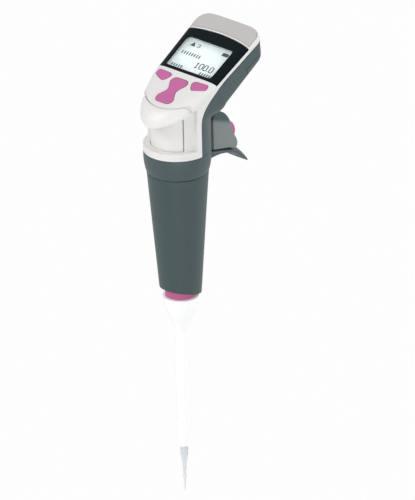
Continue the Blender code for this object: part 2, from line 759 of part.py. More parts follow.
BOARD_HALF_WIDTH = 17.0 * MM
BOARD_LOW, BOARD_HIGH = -10.5 * MM, HEAD_LENGTH - 6.9 * MM
BOARD_TOP = FRAME_LOW - GAP
BOARD_BACK = BOARD_TOP - BOARD_THICKNESS
board_width = 2 * BOARD_HALF_WIDTH
turned_box("main_board", (board_width, BOARD_HIGH - BOARD_LOW, BOARD_THICKNESS), (
    0.0, (BOARD_HIGH + BOARD_LOW) / 2, BOARD_TOP - BOARD_THICKNESS / 2), HEAD_TURN,
    colour=(0.03, 0.2, 0.09), roughness=0.45)
CHIP_HEIGHT = 1.2 * MM
CHIP_LEVEL = BOARD_BACK - GAP - CHIP_HEIGHT / 2
BLACK = (0.02, 0.02, 0.022)
turned_box("controller_chip", (9 * MM, 9 * MM, CHIP_HEIGHT), (
    3 * MM, 1.5 * MM, CHIP_LEVEL), HEAD_TURN, colour=BLACK)
turned_box("memory_chip", (5 * MM, 4 * MM, CHIP_HEIGHT), (
    -7 * MM, 1.5 * MM, CHIP_LEVEL), HEAD_TURN, colour=BLACK)
BUZZER_RADIUS = 4.0 * MM
buzzer = place("buzzer", rod_mesh("buzzer", BUZZER_RADIUS, -0.9 * MM, 0.9 * MM), BLACK, 0.5)
buzzer.matrix_world = HEAD_TURN @ Matrix.Translation((-12 * MM, -5 * MM, BOARD_BACK - GAP - 0.9 * MM))

BATTERY_TOP = -COVER_SEAM_DEPTH - 0.3 * MM
BATTERY_LENGTH = 24.0 * MM
BATTERY_WIDTH = 27.0 * MM
BATTERY_START = 1.0 * MM
turned_box("battery_pack", (BATTERY_WIDTH, BATTERY_LENGTH, BATTERY_THICKNESS), (
    0.0, BATTERY_START + BATTERY_LENGTH / 2, BATTERY_TOP - BATTERY_THICKNESS / 2), HEAD_TURN,
    bevel=1.0 * MM, colour=(0.05, 0.1, 0.22), roughness=0.4)

CONTACT_RADIUS = 1.6 * MM
CONTACT_SPREAD = 5.0 * MM
CONTACT_LEVEL = -5.2 * MM
END_TURN = HEAD_TURN @ Matrix.Translation((0.0, HEAD_LENGTH, 0.0)) @ Matrix.Rotation(
    -HEAD_END_LEAN, 4, "X") @ Matrix.Translation((0.0, 0.0, CONTACT_LEVEL)) @ Matrix.Rotation(
    -math.pi / 2, 4, "X")
for name, x in (("charge_contact_left", -CONTACT_SPREAD), ("charge_contact_right", CONTACT_SPREAD)):
    pad = place(name, rod_mesh(name, CONTACT_RADIUS, -HOUSING_WALL - MM, -0.1 * MM),
                (0.83, 0.68, 0.35), 0.3, 1.0)
    pad.matrix_world = END_TURN @ Matrix.Translation((x, 0.0, 0.0))
    hole = cutter(name + "_hole", rod_mesh(name + "_hole", CONTACT_RADIUS + GAP, -4 * MM, 4 * MM))
    hole.matrix_world = END_TURN @ Matrix.Translation((x, 0.0, 0.0))
    boolean(rear_housing, hole)

SCREW_HEAD_RADIUS = 2.0 * MM
SCREW_SHANK_RADIUS = 1.0 * MM


def screw_mesh(name, head_radius, shank_radius, head_height, length):
    """A screw along Z with its head up, from the top of the head downwards."""
    return turned_mesh(name, [
        (0.0, 0.0), (head_radius * 0.8, 0.0), (head_radius, -head_height * 0.4),
        (head_radius, -head_height), (shank_radius, -head_height), (shank_radius, -length),
        (0.0, -length - shank_radius * 0.6)])


# Two screws pass through the rear shell of the neck into posts on the front shell
POST_RADIUS = 2.5 * MM
POST_END = 6.0 * MM
SCREW_X = 9.0 * MM
SCREW_LEVEL = 10.0 * MM
SCREW_SEAT = 14.2 * MM
SCREW_LENGTH = 13.0 * MM
SCREW_HEAD_HEIGHT = 1.4 * MM
for name, x in (("housing_screw_left", -SCREW_X), ("housing_screw_right", SCREW_X)):
    seat = Matrix.Translation((x, SCREW_SEAT, SCREW_LEVEL)) @ Matrix.Rotation(-math.pi / 2, 4, "X")
    screw = place(name, screw_mesh(
        name, SCREW_HEAD_RADIUS, SCREW_SHANK_RADIUS, SCREW_HEAD_HEIGHT, SCREW_LENGTH), STEEL, 0.3, 1.0)
    spin(screw, 18)
    screw.matrix_world = seat
    seat_depth = SCREW_HEAD_HEIGHT + GAP
    bore = cutter(name + "_bore", turned_mesh(name + "_bore", [
        (0.0, 10 * MM), (SCREW_HEAD_RADIUS + GAP, 10 * MM), (SCREW_HEAD_RADIUS + GAP, -seat_depth),
        (SCREW_SHANK_RADIUS + GAP, -seat_depth), (SCREW_SHANK_RADIUS + GAP, -SCREW_LENGTH - MM),
        (0.0, -SCREW_LENGTH - MM)]))
    spin(bore, 18)
    bore.matrix_world = seat
    post_start = -MID_POCKET_RADIUS * math.cos(MID_POCKET_HALF_ANGLE) + 0.6 * MM
    post = cutter(name + "_post", rod_mesh(
        name + "_post", POST_RADIUS, post_start - SCREW_SEAT, POST_END - SCREW_SEAT, steps=18))
    post.matrix_world = seat
    boolean(front_housing, post, "UNION")
    boolean(front_housing, bore)
    boss = cutter(name + "_boss", rod_mesh(
        name + "_boss", POST_RADIUS, POST_END + GAP - SCREW_SEAT, 0.9 * MM, steps=18))
    boss.matrix_world = seat
    boolean(rear_housing, boss, "UNION")
    boolean(rear_housing, bore)


# Thumb ejector: hood, stem, rod and spring

def hood_ring(angle, steps=9):
    """Section of the hood at this angle from the front, closing towards its rounded ends."""
    share = abs(angle) / HOOD_HALF_ANGLE
    closing = max(share - 0.86, 0.0) / 0.14
    close = math.sqrt(1 - 0.93 * closing ** 2)
    rim = rim_distance(angle, RIM_RADIUS)
    face = FACE_BREAK_Z - (FACE_BREAK_Y + rim * math.cos(angle)) * math.tan(KEY_TILT) - GAP
    top = face - HOOD_EDGE_FALL * share ** 3 - HOOD_NOSE_DROP * smooth_step(0.8, 1.0, share)
    lip = HOOD_LIP + HOOD_LIP_RISE * math.sin(math.pi / 2 * share) ** 1.5
    middle = (top + lip) / 2
    high = mix(middle, top, close)
    low = mix(middle, lip, close)
    far = mix(HOOD_REACH, HOOD_NOSE_RADIUS, smooth_step(0.0, 0.9, share))
    bulge = (far - rim) * (0.4 + 0.6 * close)
    points = []
    for step in range(steps + 1):
        down = step / steps
        reach = rim + bulge * (1 - (1 - down) ** 1.9) ** 0.8
        points.append((reach, mix(high, low, down)))
    inner = POCKET_RADIUS + GAP
    points.append((rim + bulge - HOOD_WALL * 0.6 * close, low + 0.2 * MM * close))
    points.append((inner, low + 0.32 * (high - low)))
    points.append((max(rim, inner), min(low + 0.8 * (high - low), POCKET_TOP - GAP)))
    return [Vector((radius * math.sin(angle), -radius * math.cos(angle), z)) for radius, z in points]


HOOD_STEPS = 30
hood_rings = [hood_ring(HOOD_HALF_ANGLE * (2 * step / HOOD_STEPS - 1)) for step in range(HOOD_STEPS + 1)]
place("ejector_hood", loft("ejector_hood", hood_rings), WHITE, 0.36, smooth=40.0)

STEM_FLARE_LOW = 22.4 * MM
STEM_TOP = MID_POCKET_TOP - 0.6 * MM
stem_profile = [
    (POCKET_RADIUS, STEM_TOP), (POCKET_RADIUS, STEM_FLARE_LOW + 0.8 * MM), (STEM_RADIUS, STEM_FLARE_LOW),
    (STEM_RADIUS, STEM_BOTTOM), (STEM_RADIUS - STEM_WALL, STEM_BOTTOM), (STEM_RADIUS - STEM_WALL, STEM_TOP)]
STEM_STEPS = 24
stem_rings = []
for step in range(STEM_STEPS + 1):
    angle = STEM_HALF_ANGLE * (2 * step / STEM_STEPS - 1)
    stem_rings.append([Vector((radius * math.sin(angle), -radius * math.cos(angle), z))
                       for radius, z in stem_profile])
stem = place("ejector_stem", loft("ejector_stem", stem_rings), WHITE, 0.38)
ARM_HEIGHT = 2.4 * MM
ARM_NEAR = ROD_OFFSET - 2.4 * MM
ARM_FAR = STEM_RADIUS - STEM_WALL / 2
arm = cutter("stem_arm", box_mesh("stem_arm", (ROD_ARM_WIDTH, ARM_FAR - ARM_NEAR, ARM_HEIGHT), (
    0.0, -(ARM_FAR + ARM_NEAR) / 2, STEM_BOTTOM + ARM_HEIGHT / 2 + 0.02 * MM)))
boolean(stem, arm, "UNION")

ROD_TOP = STEM_BOTTOM - GAP
ROD_BOTTOM = SLEEVE_TOP + GAP
place("ejector_rod", rod_mesh("ejector_rod", ROD_RADIUS, ROD_BOTTOM, ROD_TOP, 0.0, -ROD_OFFSET, 16),
      STEEL, 0.3, 1.0)


# Turning finger rest with its hook, and the trigger block on it

RING_TOP = -GAP
finger_rest = turned("finger_rest", [
    (BODY_RADIUS, RING_TOP), (BODY_RADIUS, -0.28 * RING_HEIGHT),
    (BODY_RADIUS - 0.22 * RING_DRAW, -0.6 * RING_HEIGHT),
    (BODY_RADIUS - 0.56 * RING_DRAW, -0.83 * RING_HEIGHT), (RING_LIP_RADIUS, -RING_HEIGHT),
    (NECK_TUBE_RADIUS + GAP, -RING_HEIGHT), (NECK_TUBE_RADIUS + GAP, RING_TOP)], 52, True,
    colour=DARK, roughness=0.45)
# Hook sections in millimetres: distance out, upper and under level, and share of the full width
HOOK_SECTIONS = (
    (16.0, -6.7, -12.0, 0.78), (18.5, -6.3, -11.5, 0.96), (21.5, -6.6, -11.1, 1.0),
    (25.0, -7.5, -11.0, 1.0), (29.0, -8.6, -11.5, 1.0), (33.5, -9.9, -12.7, 1.0),
    (37.8, -11.9, -14.8, 1.0), (41.2, -14.4, -17.1, 0.99), (44.2, -17.2, -19.6, 0.95),
    (46.9, -20.2, -22.0, 0.87), (48.9, -22.6, -23.6, 0.72), (50.0, -24.0, -24.5, 0.48))
HOOK_SIDES = 18
HOOK_NEAR = BODY_RADIUS - 2.5 * MM
HOOK_START = HOOK_SECTIONS[0][0]
HOOK_STRETCH = (HOOK_REACH - HOOK_NEAR) / (HOOK_SECTIONS[-1][0] - HOOK_START)
hook_rings = []
for y, top, under, width in HOOK_SECTIONS:
    ring = []
    lean = smooth_step(33.0, 50.0, y) * 0.9 * MM
    out = HOOK_NEAR + (y - HOOK_START) * HOOK_STRETCH
    upper = Vector((0.0, out + lean, top * MM))
    lower = Vector((0.0, out - lean, under * MM))
    middle, half = (upper + lower) / 2, (upper - lower) / 2
    for index in range(HOOK_SIDES):
        angle = math.tau * (index + 0.5) / HOOK_SIDES
        wide = math.copysign(abs(math.cos(angle)) ** 0.6, math.cos(angle)) * HOOK_HALF_WIDTH * width
        high = math.copysign(abs(math.sin(angle)) ** 0.8, math.sin(angle))
        ring.append(middle + half * high + Vector((wide, 0.0, 0.0)))
    hook_rings.append(ring)
hook = cutter("hook", loft("hook", hook_rings))
boolean(finger_rest, hook, "UNION")

BLOCK_FRONT = BODY_RADIUS - 2.5 * MM
BLOCK_OUTLINE = (
    (BLOCK_FRONT, -5.0 * MM), (BLOCK_FRONT, 9.5 * MM), (18.6 * MM, 12.3 * MM), (20.6 * MM, 14.0 * MM),
    (23.0 * MM, 14.9 * MM), (25.6 * MM, 14.9 * MM), (28.2 * MM, 13.7 * MM), (30.6 * MM, 11.6 * MM),
    (32.6 * MM, 8.9 * MM), (34.0 * MM, 6.0 * MM), (35.2 * MM, 3.0 * MM), (36.8 * MM, -0.6 * MM),
    (38.6 * MM, -3.6 * MM), (40.2 * MM, -5.8 * MM), (41.0 * MM, -8.2 * MM), (41.0 * MM, -10.6 * MM),
    (40.0 * MM, -12.2 * MM), (37.4 * MM, -10.9 * MM), (33.2 * MM, -8.9 * MM))
trigger_block = place("trigger_block", outline_mesh(
    "trigger_block", BLOCK_OUTLINE, -BLOCK_WIDTH / 2, BLOCK_WIDTH / 2, SIDE_VIEW),
    (0.21, 0.235, 0.235), 0.45)
block_edges = trigger_block.modifiers.new("rounded_sides", "BEVEL")
block_edges.width = 0.7 * MM
block_edges.segments = 2
block_edges.limit_method = "ANGLE"
block_edges.angle_limit = math.radians(50)
boolean(trigger_block, cutter("block_front", rod_mesh(
    "block_front", BODY_RADIUS + BLOCK_CLEARANCE, -40 * MM, 40 * MM, steps=72)))

TRIGGER_LOW, TRIGGER_HIGH = -4.2 * MM, 4.5 * MM
TRIGGER_FRONT = 31.9 * MM
SWITCH_BACK = 25.9 * MM
SWITCH_THICKNESS = 2.6 * MM
boolean(trigger_block, cutter("trigger_pocket", box_mesh("trigger_pocket", (
    TRIGGER_WIDTH + 2 * GAP, 30 * MM, TRIGGER_HIGH - TRIGGER_LOW + 2 * GAP), (
    0.0, SWITCH_BACK - GAP + 15 * MM, (TRIGGER_HIGH + TRIGGER_LOW) / 2))))
TRIGGER_OUTLINE = (
    (TRIGGER_FRONT, TRIGGER_LOW), (TRIGGER_FRONT, TRIGGER_HIGH), (36.6 * MM, TRIGGER_HIGH),
    (38.2 * MM, 3.6 * MM), (39.4 * MM, 1.9 * MM), (40.1 * MM, 0.1 * MM), (40.4 * MM, -1.7 * MM),
    (40.1 * MM, -3.2 * MM), (39.4 * MM, TRIGGER_LOW))
trigger_button = place("trigger_button", outline_mesh(
    "trigger_button", TRIGGER_OUTLINE, -TRIGGER_WIDTH / 2, TRIGGER_WIDTH / 2, SIDE_VIEW), PINK, 0.4)
button_edges = trigger_button.modifiers.new("rounded_sides", "BEVEL")
button_edges.width = 0.8 * MM
button_edges.segments = 2
button_edges.limit_method = "ANGLE"
button_edges.angle_limit = math.radians(50)
place("trigger_switch", box_mesh("trigger_switch", (6 * MM, SWITCH_THICKNESS, 6 * MM), (
    0.0, SWITCH_BACK + SWITCH_THICKNESS / 2, (TRIGGER_HIGH + TRIGGER_LOW) / 2)), BLACK, 0.5)
SWITCH_FRONT = SWITCH_BACK + SWITCH_THICKNESS
trigger_spring = coil("trigger_spring", (0.0, 0.0), 1.7 * MM, 0.2 * MM,
                      0.0, TRIGGER_FRONT - SWITCH_FRONT - 2 * GAP, 3)
trigger_spring.location = (0.0, SWITCH_FRONT + GAP, (TRIGGER_HIGH + TRIGGER_LOW) / 2)
trigger_spring.rotation_euler = (-math.pi / 2, 0.0, 0.0)


# Neck tube that carries the ring, and the tapered grip below it

NECK_LIP = 1.6 * MM
NECK_FLANGE_TOP = 1.2 * MM - RING_HEIGHT
turned("neck_tube", [
    (BODY_RADIUS - HOUSING_WALL - GAP, NECK_LIP), (BODY_RADIUS - HOUSING_WALL - GAP, GAP),
    (NECK_TUBE_RADIUS, GAP), (NECK_TUBE_RADIUS, -RING_HEIGHT), (NECK_FLANGE_RADIUS, -RING_HEIGHT),
    (NECK_FLANGE_RADIUS, NECK_FLANGE_TOP), (NECK_TUBE_RADIUS - NECK_TUBE_WALL, NECK_FLANGE_TOP),
    (NECK_TUBE_RADIUS - NECK_TUBE_WALL, NECK_LIP)], 32, True, colour=(0.3, 0.3, 0.31))

GRIP_TOP = -RING_HEIGHT - GAP


def grip_radius(z):
    return mix(GRIP_TOP_RADIUS, GRIP_BOTTOM_RADIUS, (z - GRIP_TOP) / (GRIP_BOTTOM - GRIP_TOP))


def grip_bore(z):
    """Inner radius of the grip at this height."""
    share = (z - GRIP_TOP) / (GRIP_BOTTOM - GRIP_TOP)
    return grip_radius(z) - mix(GRIP_WALL_TOP, GRIP_WALL_BOTTOM, share)


def grip_ring(radius, z, sides=40):
    """One ring of the grip, raked lower at the back towards its lower end."""
    rake = GRIP_RAKE * smooth_step(0.0, 1.0, (z - GRIP_TOP) / (GRIP_BOTTOM - GRIP_TOP)) ** 2
    ring = []
    for index in range(sides):
        angle = math.tau * index / sides
        x, y = radius * math.cos(angle), radius * math.sin(angle)
        ring.append(Vector((x, y, z - rake * y)))
    return ring


RIM = 0.45 * MM
WEB = 1.5 * MM
outer_rings = [
    grip_ring(grip_radius(GRIP_TOP) - RIM, GRIP_TOP),
    grip_ring(grip_radius(GRIP_TOP), GRIP_TOP - RIM)]
inner_rings = []
GRIP_STEPS = 4
for step in range(1, GRIP_STEPS + 1):
    level = mix(GRIP_TOP - RIM, GRIP_BOTTOM + RIM, step / GRIP_STEPS)
    outer_rings.append(grip_ring(grip_radius(level), level))
outer_rings.append(grip_ring(grip_radius(GRIP_BOTTOM) - RIM * 0.3, GRIP_BOTTOM + RIM * 0.3))
outer_rings.append(grip_ring(grip_radius(GRIP_BOTTOM) - RIM, GRIP_BOTTOM))
BORE_STEPS = 2
for step in range(BORE_STEPS + 1):
    level = mix(GRIP_BOTTOM, GRIP_TOP - WEB, step / BORE_STEPS)
    inner_rings.append(grip_ring(grip_bore(level), level))
inner_rings.append(grip_ring(NECK_FLANGE_RADIUS, GRIP_TOP - WEB))
inner_rings.append(grip_ring(NECK_FLANGE_RADIUS, GRIP_TOP))
place("grip_shell", loft("grip_shell", outer_rings + inner_rings, closed=True), DARK, 0.42)


# Ejector sleeve with its funnel, the colour ring on its neck, and the tip

FUNNEL_FALL = BARREL_TOP - SHOULDER_Z


def funnel_radius(z):
    """The funnel swells out from the shoulder and runs down in an S to the barrel."""
    share = (z - SHOULDER_Z) / FUNNEL_FALL
    return mix(FUNNEL_RADIUS, BARREL_RADIUS, smooth_step(0.0, 1.0, share ** 1.12))


def nose_radius(z):
    """The barrel's lower end closes in a long curve."""
    share = (BARREL_BOTTOM - z) / (BARREL_BOTTOM - SLEEVE_END)
    return mix(BARREL_RADIUS - 0.1 * MM, SLEEVE_END_RADIUS, share ** 1.6)


sleeve_outer = [(FUNNEL_RADIUS - 0.25 * MM, SHOULDER_Z), (FUNNEL_RADIUS, SHOULDER_Z - 0.25 * MM)]
FUNNEL_STEPS = 8
for step in range(1, FUNNEL_STEPS + 1):
    level = SHOULDER_Z - 0.3 * MM + (FUNNEL_FALL + 0.3 * MM) * step / FUNNEL_STEPS
    sleeve_outer.append((funnel_radius(level), level))
NOSE_STEPS = 4
for step in range(NOSE_STEPS + 1):
    level = mix(BARREL_BOTTOM, SLEEVE_END, step / NOSE_STEPS)
    sleeve_outer.append((nose_radius(level), level))
SLEEVE_NECK_BORE = SLEEVE_NECK_RADIUS - SLEEVE_WALL
SLEEVE_COLLAR = 2.2 * MM
NECK_BORE_DEPTH = 9.0 * MM
sleeve_inner = [
    (radius - SLEEVE_WALL, z) for radius, z in reversed(sleeve_outer) if radius < SLEEVE_NECK_RADIUS]
turned("ejector_sleeve", [
    (SLEEVE_COLLAR_RADIUS, SLEEVE_TOP), (SLEEVE_COLLAR_RADIUS, SLEEVE_TOP - SLEEVE_COLLAR),
    (SLEEVE_NECK_RADIUS, SLEEVE_TOP - SLEEVE_COLLAR), (SLEEVE_NECK_RADIUS, SHOULDER_Z)]
    + sleeve_outer + sleeve_inner + [
        (SLEEVE_NECK_BORE, SHOULDER_Z - NECK_BORE_DEPTH), (SLEEVE_NECK_BORE, SLEEVE_TOP)], 28, True,
    colour=(0.86, 0.86, 0.85), roughness=0.35)
turned("colour_ring", ring_profile(
    RING_RADIUS, SLEEVE_NECK_RADIUS + GAP, SLEEVE_TOP - SLEEVE_COLLAR - GAP, SHOULDER_Z + GAP), 40, True,
    colour=PINK, roughness=0.4)

TIP_TOP = SLEEVE_END - GAP
NOSE_END = TIP_TOP - CONE_NOSE_LENGTH
TIP_SHOULDER = TIP_TOP - 5.6 * MM
TIP_STEM_TOP = TIP_TOP - 9.5 * MM
TIP_STEP = TIP_TOP - 19.0 * MM
TIP_END = TIP_TOP - TIP_LENGTH
tip_bore = CONE_NOSE_RADIUS + GAP
turned("disposable_tip", [
    (TIP_COLLAR_RADIUS, TIP_TOP), (TIP_COLLAR_RADIUS, TIP_SHOULDER), (1.78 * MM, TIP_SHOULDER - 0.3 * MM),
    (1.2 * MM, TIP_STEM_TOP), (0.92 * MM, TIP_STEP), (0.62 * MM, TIP_STEP - 0.15 * MM),
    (0.38 * MM, TIP_END), (0.18 * MM, TIP_END), (0.3 * MM, TIP_STEP), (0.7 * MM, TIP_STEM_TOP),
    (tip_bore - 0.3 * MM, TIP_SHOULDER), (tip_bore - 0.12 * MM, NOSE_END - 0.05 * MM), (tip_bore, TIP_TOP)],
    20, True, colour=(0.85, 0.87, 0.9), roughness=0.15)


# Tip cone with its seal, and the nut that holds it to the drive frame

CONE_TOP = FRAME_BOTTOM - GAP
CONE_FLANGE = 2.0 * MM
CONE_BODY_RADIUS = 4.6 * MM
CONE_STEM_RADIUS = BARREL_RADIUS - SLEEVE_WALL - 0.45 * MM
SEAL_SEAT = CONE_TOP - 7.9 * MM
SEAL_BORE = 2.6 * MM
turned("tip_cone", [
    (FRAME_RADIUS, CONE_TOP), (FRAME_RADIUS, CONE_TOP - CONE_FLANGE),
    (CONE_BODY_RADIUS, CONE_TOP - CONE_FLANGE - 0.4 * MM), (CONE_BODY_RADIUS, SHOULDER_Z - 8.0 * MM),
    (CONE_STEM_RADIUS, BARREL_TOP + 3.0 * MM), (CONE_STEM_RADIUS, BARREL_BOTTOM),
    (CONE_NOSE_RADIUS + 0.75 * MM, BARREL_BOTTOM - 4.5 * MM), (CONE_NOSE_RADIUS, SLEEVE_END + 1.6 * MM),
    (CONE_NOSE_RADIUS, TIP_TOP), (CONE_NOSE_RADIUS - 0.12 * MM, NOSE_END + 0.25 * MM),
    (0.4 * MM, NOSE_END + 0.25 * MM), (CONE_BORE, BARREL_BOTTOM - 6.0 * MM), (CONE_BORE, SEAL_SEAT),
    (SEAL_BORE, SEAL_SEAT), (SEAL_BORE, CONE_TOP)], 18, True, colour=(0.8, 0.8, 0.78), roughness=0.4)

NUT_BORE = FRAME_RADIUS + GAP
NUT_RADIUS = SLEEVE_NECK_BORE - GAP
NUT_TOP = CONE_TOP + 4.4 * MM
NUT_LIP = CONE_TOP - CONE_FLANGE - GAP
turned("cone_nut", [
    (NUT_RADIUS, NUT_TOP), (NUT_RADIUS, NUT_LIP - 1.6 * MM), (CONE_BODY_RADIUS + GAP, NUT_LIP - 1.6 * MM),
    (CONE_BODY_RADIUS + GAP, NUT_LIP - 0.4 * MM), (NUT_BORE, NUT_LIP), (NUT_BORE, NUT_TOP)],
    24, True, colour=STEEL, roughness=0.35, metallic=1.0)

SEAL_RADIUS = SEAL_BORE - GAP
SEAL_HEIGHT = 1.8 * MM
SEAL_HOLE = PISTON_RADIUS + GAP
RETAINER_HEIGHT = 1.5 * MM
turned("piston_seal", ring_profile(
    SEAL_RADIUS, SEAL_HOLE, SEAL_SEAT + GAP + SEAL_HEIGHT, SEAL_SEAT + GAP), 16, True,
    colour=(0.05, 0.05, 0.05), roughness=0.7)
turned("seal_retainer", ring_profile(
    SEAL_RADIUS, SEAL_HOLE, CONE_TOP - 0.2 * MM, CONE_TOP - 0.2 * MM - RETAINER_HEIGHT), 16, True,
    colour=STEEL, roughness=0.35, metallic=1.0)
coil("seal_spring", (0.0, 0.0), 1.6 * MM, 0.22 * MM, SEAL_SEAT + 2 * GAP + SEAL_HEIGHT,
     CONE_TOP - 0.2 * MM - RETAINER_HEIGHT - GAP, 3)


# Drive: motor between its cap and bracket, lead screw, piston holder and the frame below

CAP_LOW = MOTOR_TOP + GAP
CAP_HIGH = CAP_LOW + PLATE_THICKNESS
MOTOR_BOTTOM = MOTOR_TOP - MOTOR_LENGTH
SCREW_HOLE = LEAD_SCREW_RADIUS + 1.1 * MM
rod_hole_cap = cutter("rod_hole_cap", rod_mesh(
    "rod_hole_cap", ROD_RADIUS + GAP, MOTOR_BOTTOM - 10 * MM, CAP_HIGH + MM, 0.0, -ROD_OFFSET, 16))


def drive_plate(name, top, thickness, colour):
    """A round plate that fills the grip's bore and lets the lead screw and the rod through."""
    rim = grip_bore(top - thickness) - GAP
    plate = turned(name, ring_profile(rim, SCREW_HOLE, top, top - thickness), 26, True,
                   colour=colour, roughness=0.4, metallic=0.9)
    boolean(plate, rod_hole_cap)
    return plate


drive_plate("motor_cap", CAP_HIGH, PLATE_THICKNESS, (0.5, 0.51, 0.52))
END_BORE = 2.9 * MM
CAN_WALL = 1.6 * MM
END_WALL = 1.4 * MM
can_bore = MOTOR_RADIUS - CAN_WALL
turned("motor_can", [
    (MOTOR_RADIUS, MOTOR_TOP), (MOTOR_RADIUS, MOTOR_BOTTOM), (END_BORE, MOTOR_BOTTOM),
    (END_BORE, MOTOR_BOTTOM + END_WALL), (can_bore, MOTOR_BOTTOM + END_WALL),
    (can_bore, MOTOR_TOP - END_WALL), (END_BORE, MOTOR_TOP - END_WALL), (END_BORE, MOTOR_TOP)], 24, True,
    colour=(0.4, 0.41, 0.43), roughness=0.35, metallic=1.0)
rotor_body = can_bore - 0.5 * MM
journal = END_BORE - SLIDE_GAP
rotor_bore = LEAD_SCREW_RADIUS + SLIDE_GAP
body_top, body_low = MOTOR_TOP - END_WALL - SLIDE_GAP, MOTOR_BOTTOM + END_WALL + SLIDE_GAP
turned("motor_rotor", [
    (journal, MOTOR_TOP - 0.2 * MM), (journal, body_top), (rotor_body, body_top), (rotor_body, body_low),
    (journal, body_low), (journal, MOTOR_BOTTOM + 0.2 * MM), (rotor_bore, MOTOR_BOTTOM + 0.2 * MM),
    (rotor_bore, MOTOR_TOP - 0.2 * MM)], 20, True, colour=(0.25, 0.25, 0.27), roughness=0.4, metallic=0.8)

FLANGE_TOP = MOTOR_BOTTOM - GAP
FLANGE_THICKNESS = 1.1 * MM
MOTOR_SCREW_X = 9.0 * MM
flange_outline = []
for middle, radius in ((MOTOR_SCREW_X, 2.4 * MM), (-MOTOR_SCREW_X, 2.4 * MM)):
    for step in range(5):
        angle = math.radians(-80 + 40 * step) + (0.0 if middle > 0 else math.pi)
        flange_outline.append((middle + radius * math.cos(angle), radius * math.sin(angle)))
    for step in range(5):
        angle = math.radians(48 + 21 * step) + (0.0 if middle > 0 else math.pi)
        flange_outline.append((MOTOR_RADIUS * math.cos(angle), MOTOR_RADIUS * math.sin(angle)))
motor_flange = place("motor_flange", outline_mesh(
    "motor_flange", flange_outline, FLANGE_TOP - FLANGE_THICKNESS, FLANGE_TOP),
    (0.45, 0.46, 0.48), 0.4, 0.9)
boolean(motor_flange, cutter("flange_hole", rod_mesh(
    "flange_hole", SCREW_HOLE, FLANGE_TOP - 5 * MM, FLANGE_TOP + MM, steps=18)))

BRACKET_TOP = FLANGE_TOP - FLANGE_THICKNESS - GAP
motor_bracket = drive_plate("motor_bracket", BRACKET_TOP, PLATE_THICKNESS, (0.5, 0.51, 0.52))
MOTOR_SCREW_SHANK = 0.8 * MM
for name, x in (("motor_screw_left", -MOTOR_SCREW_X), ("motor_screw_right", MOTOR_SCREW_X)):
    screw = place(name, screw_mesh(name, 1.5 * MM, MOTOR_SCREW_SHANK, MM, 4.2 * MM), STEEL, 0.3, 1.0)
    spin(screw, 16)
    screw.location = (x, 0.0, FLANGE_TOP + MM + GAP)
    hole = cutter(name + "_hole", rod_mesh(
        name + "_hole", MOTOR_SCREW_SHANK + GAP, BRACKET_TOP - 4 * MM, FLANGE_TOP + MM, x, 0.0, 16))
    boolean(motor_flange, hole)
    boolean(motor_bracket, hole)

HOLDER_HEIGHT = 4.6 * MM
HOLDER_GAP = 1.4 * MM
FRAME_BORE = FRAME_RADIUS - FRAME_WALL
SCREW_LOW = FRAME_BOTTOM + HOLDER_GAP + PISTON_STROKE + HOLDER_HEIGHT
SCREW_HIGH = MOTOR_TOP + 5.0 * MM
place("lead_screw", rod_mesh("lead_screw", LEAD_SCREW_RADIUS, SCREW_LOW + GAP, SCREW_HIGH, steps=20),
      STEEL, 0.3, 1.0)
holder = place("piston_holder", rod_mesh(
    "piston_holder", FRAME_BORE - SLIDE_GAP, SCREW_LOW - HOLDER_HEIGHT, SCREW_LOW), (0.75, 0.74, 0.7), 0.5)
KEY_WIDTH = 1.8 * MM
fin_reach = FRAME_RADIUS - GAP
boolean(holder, cutter("holder_fin", box_mesh("holder_fin", (fin_reach, KEY_WIDTH, HOLDER_HEIGHT - MM), (
    fin_reach / 2, 0.0, SCREW_LOW - HOLDER_HEIGHT / 2))), "UNION")
PISTON_LENGTH = 38.0 * MM
PISTON_TOP = SCREW_LOW - HOLDER_HEIGHT - GAP
place("piston", rod_mesh("piston", PISTON_RADIUS, PISTON_TOP - PISTON_LENGTH, PISTON_TOP, steps=16),
      STEEL, 0.25, 1.0)

FRAME_TOP = BRACKET_TOP - PLATE_THICKNESS - GAP
frame_flange = ROD_OFFSET - ROD_RADIUS - 2 * GAP
cone_frame = turned("cone_frame", [
    (frame_flange, FRAME_TOP), (frame_flange, FRAME_TOP - 1.4 * MM), (FRAME_RADIUS, FRAME_TOP - 1.4 * MM),
    (FRAME_RADIUS, FRAME_BOTTOM), (FRAME_BORE, FRAME_BOTTOM), (FRAME_BORE, FRAME_TOP)], 24, True,
    colour=(0.3, 0.31, 0.33), roughness=0.45)
SLOT_LOW, SLOT_HIGH = FRAME_BOTTOM + 0.9 * MM, SCREW_LOW + MM
boolean(cone_frame, cutter("guide_slot", box_mesh("guide_slot", (
    10 * MM, KEY_WIDTH + 2 * SLIDE_GAP, SLOT_HIGH - SLOT_LOW), (7 * MM, 0.0, (SLOT_LOW + SLOT_HIGH) / 2))))

SPRING_WIRE = 0.28 * MM
coil("ejector_spring", (0.0, -ROD_OFFSET), ROD_RADIUS + GAP + SPRING_WIRE + 0.3 * MM, SPRING_WIRE,
     CAP_HIGH + GAP, STEM_BOTTOM - GAP, 7)

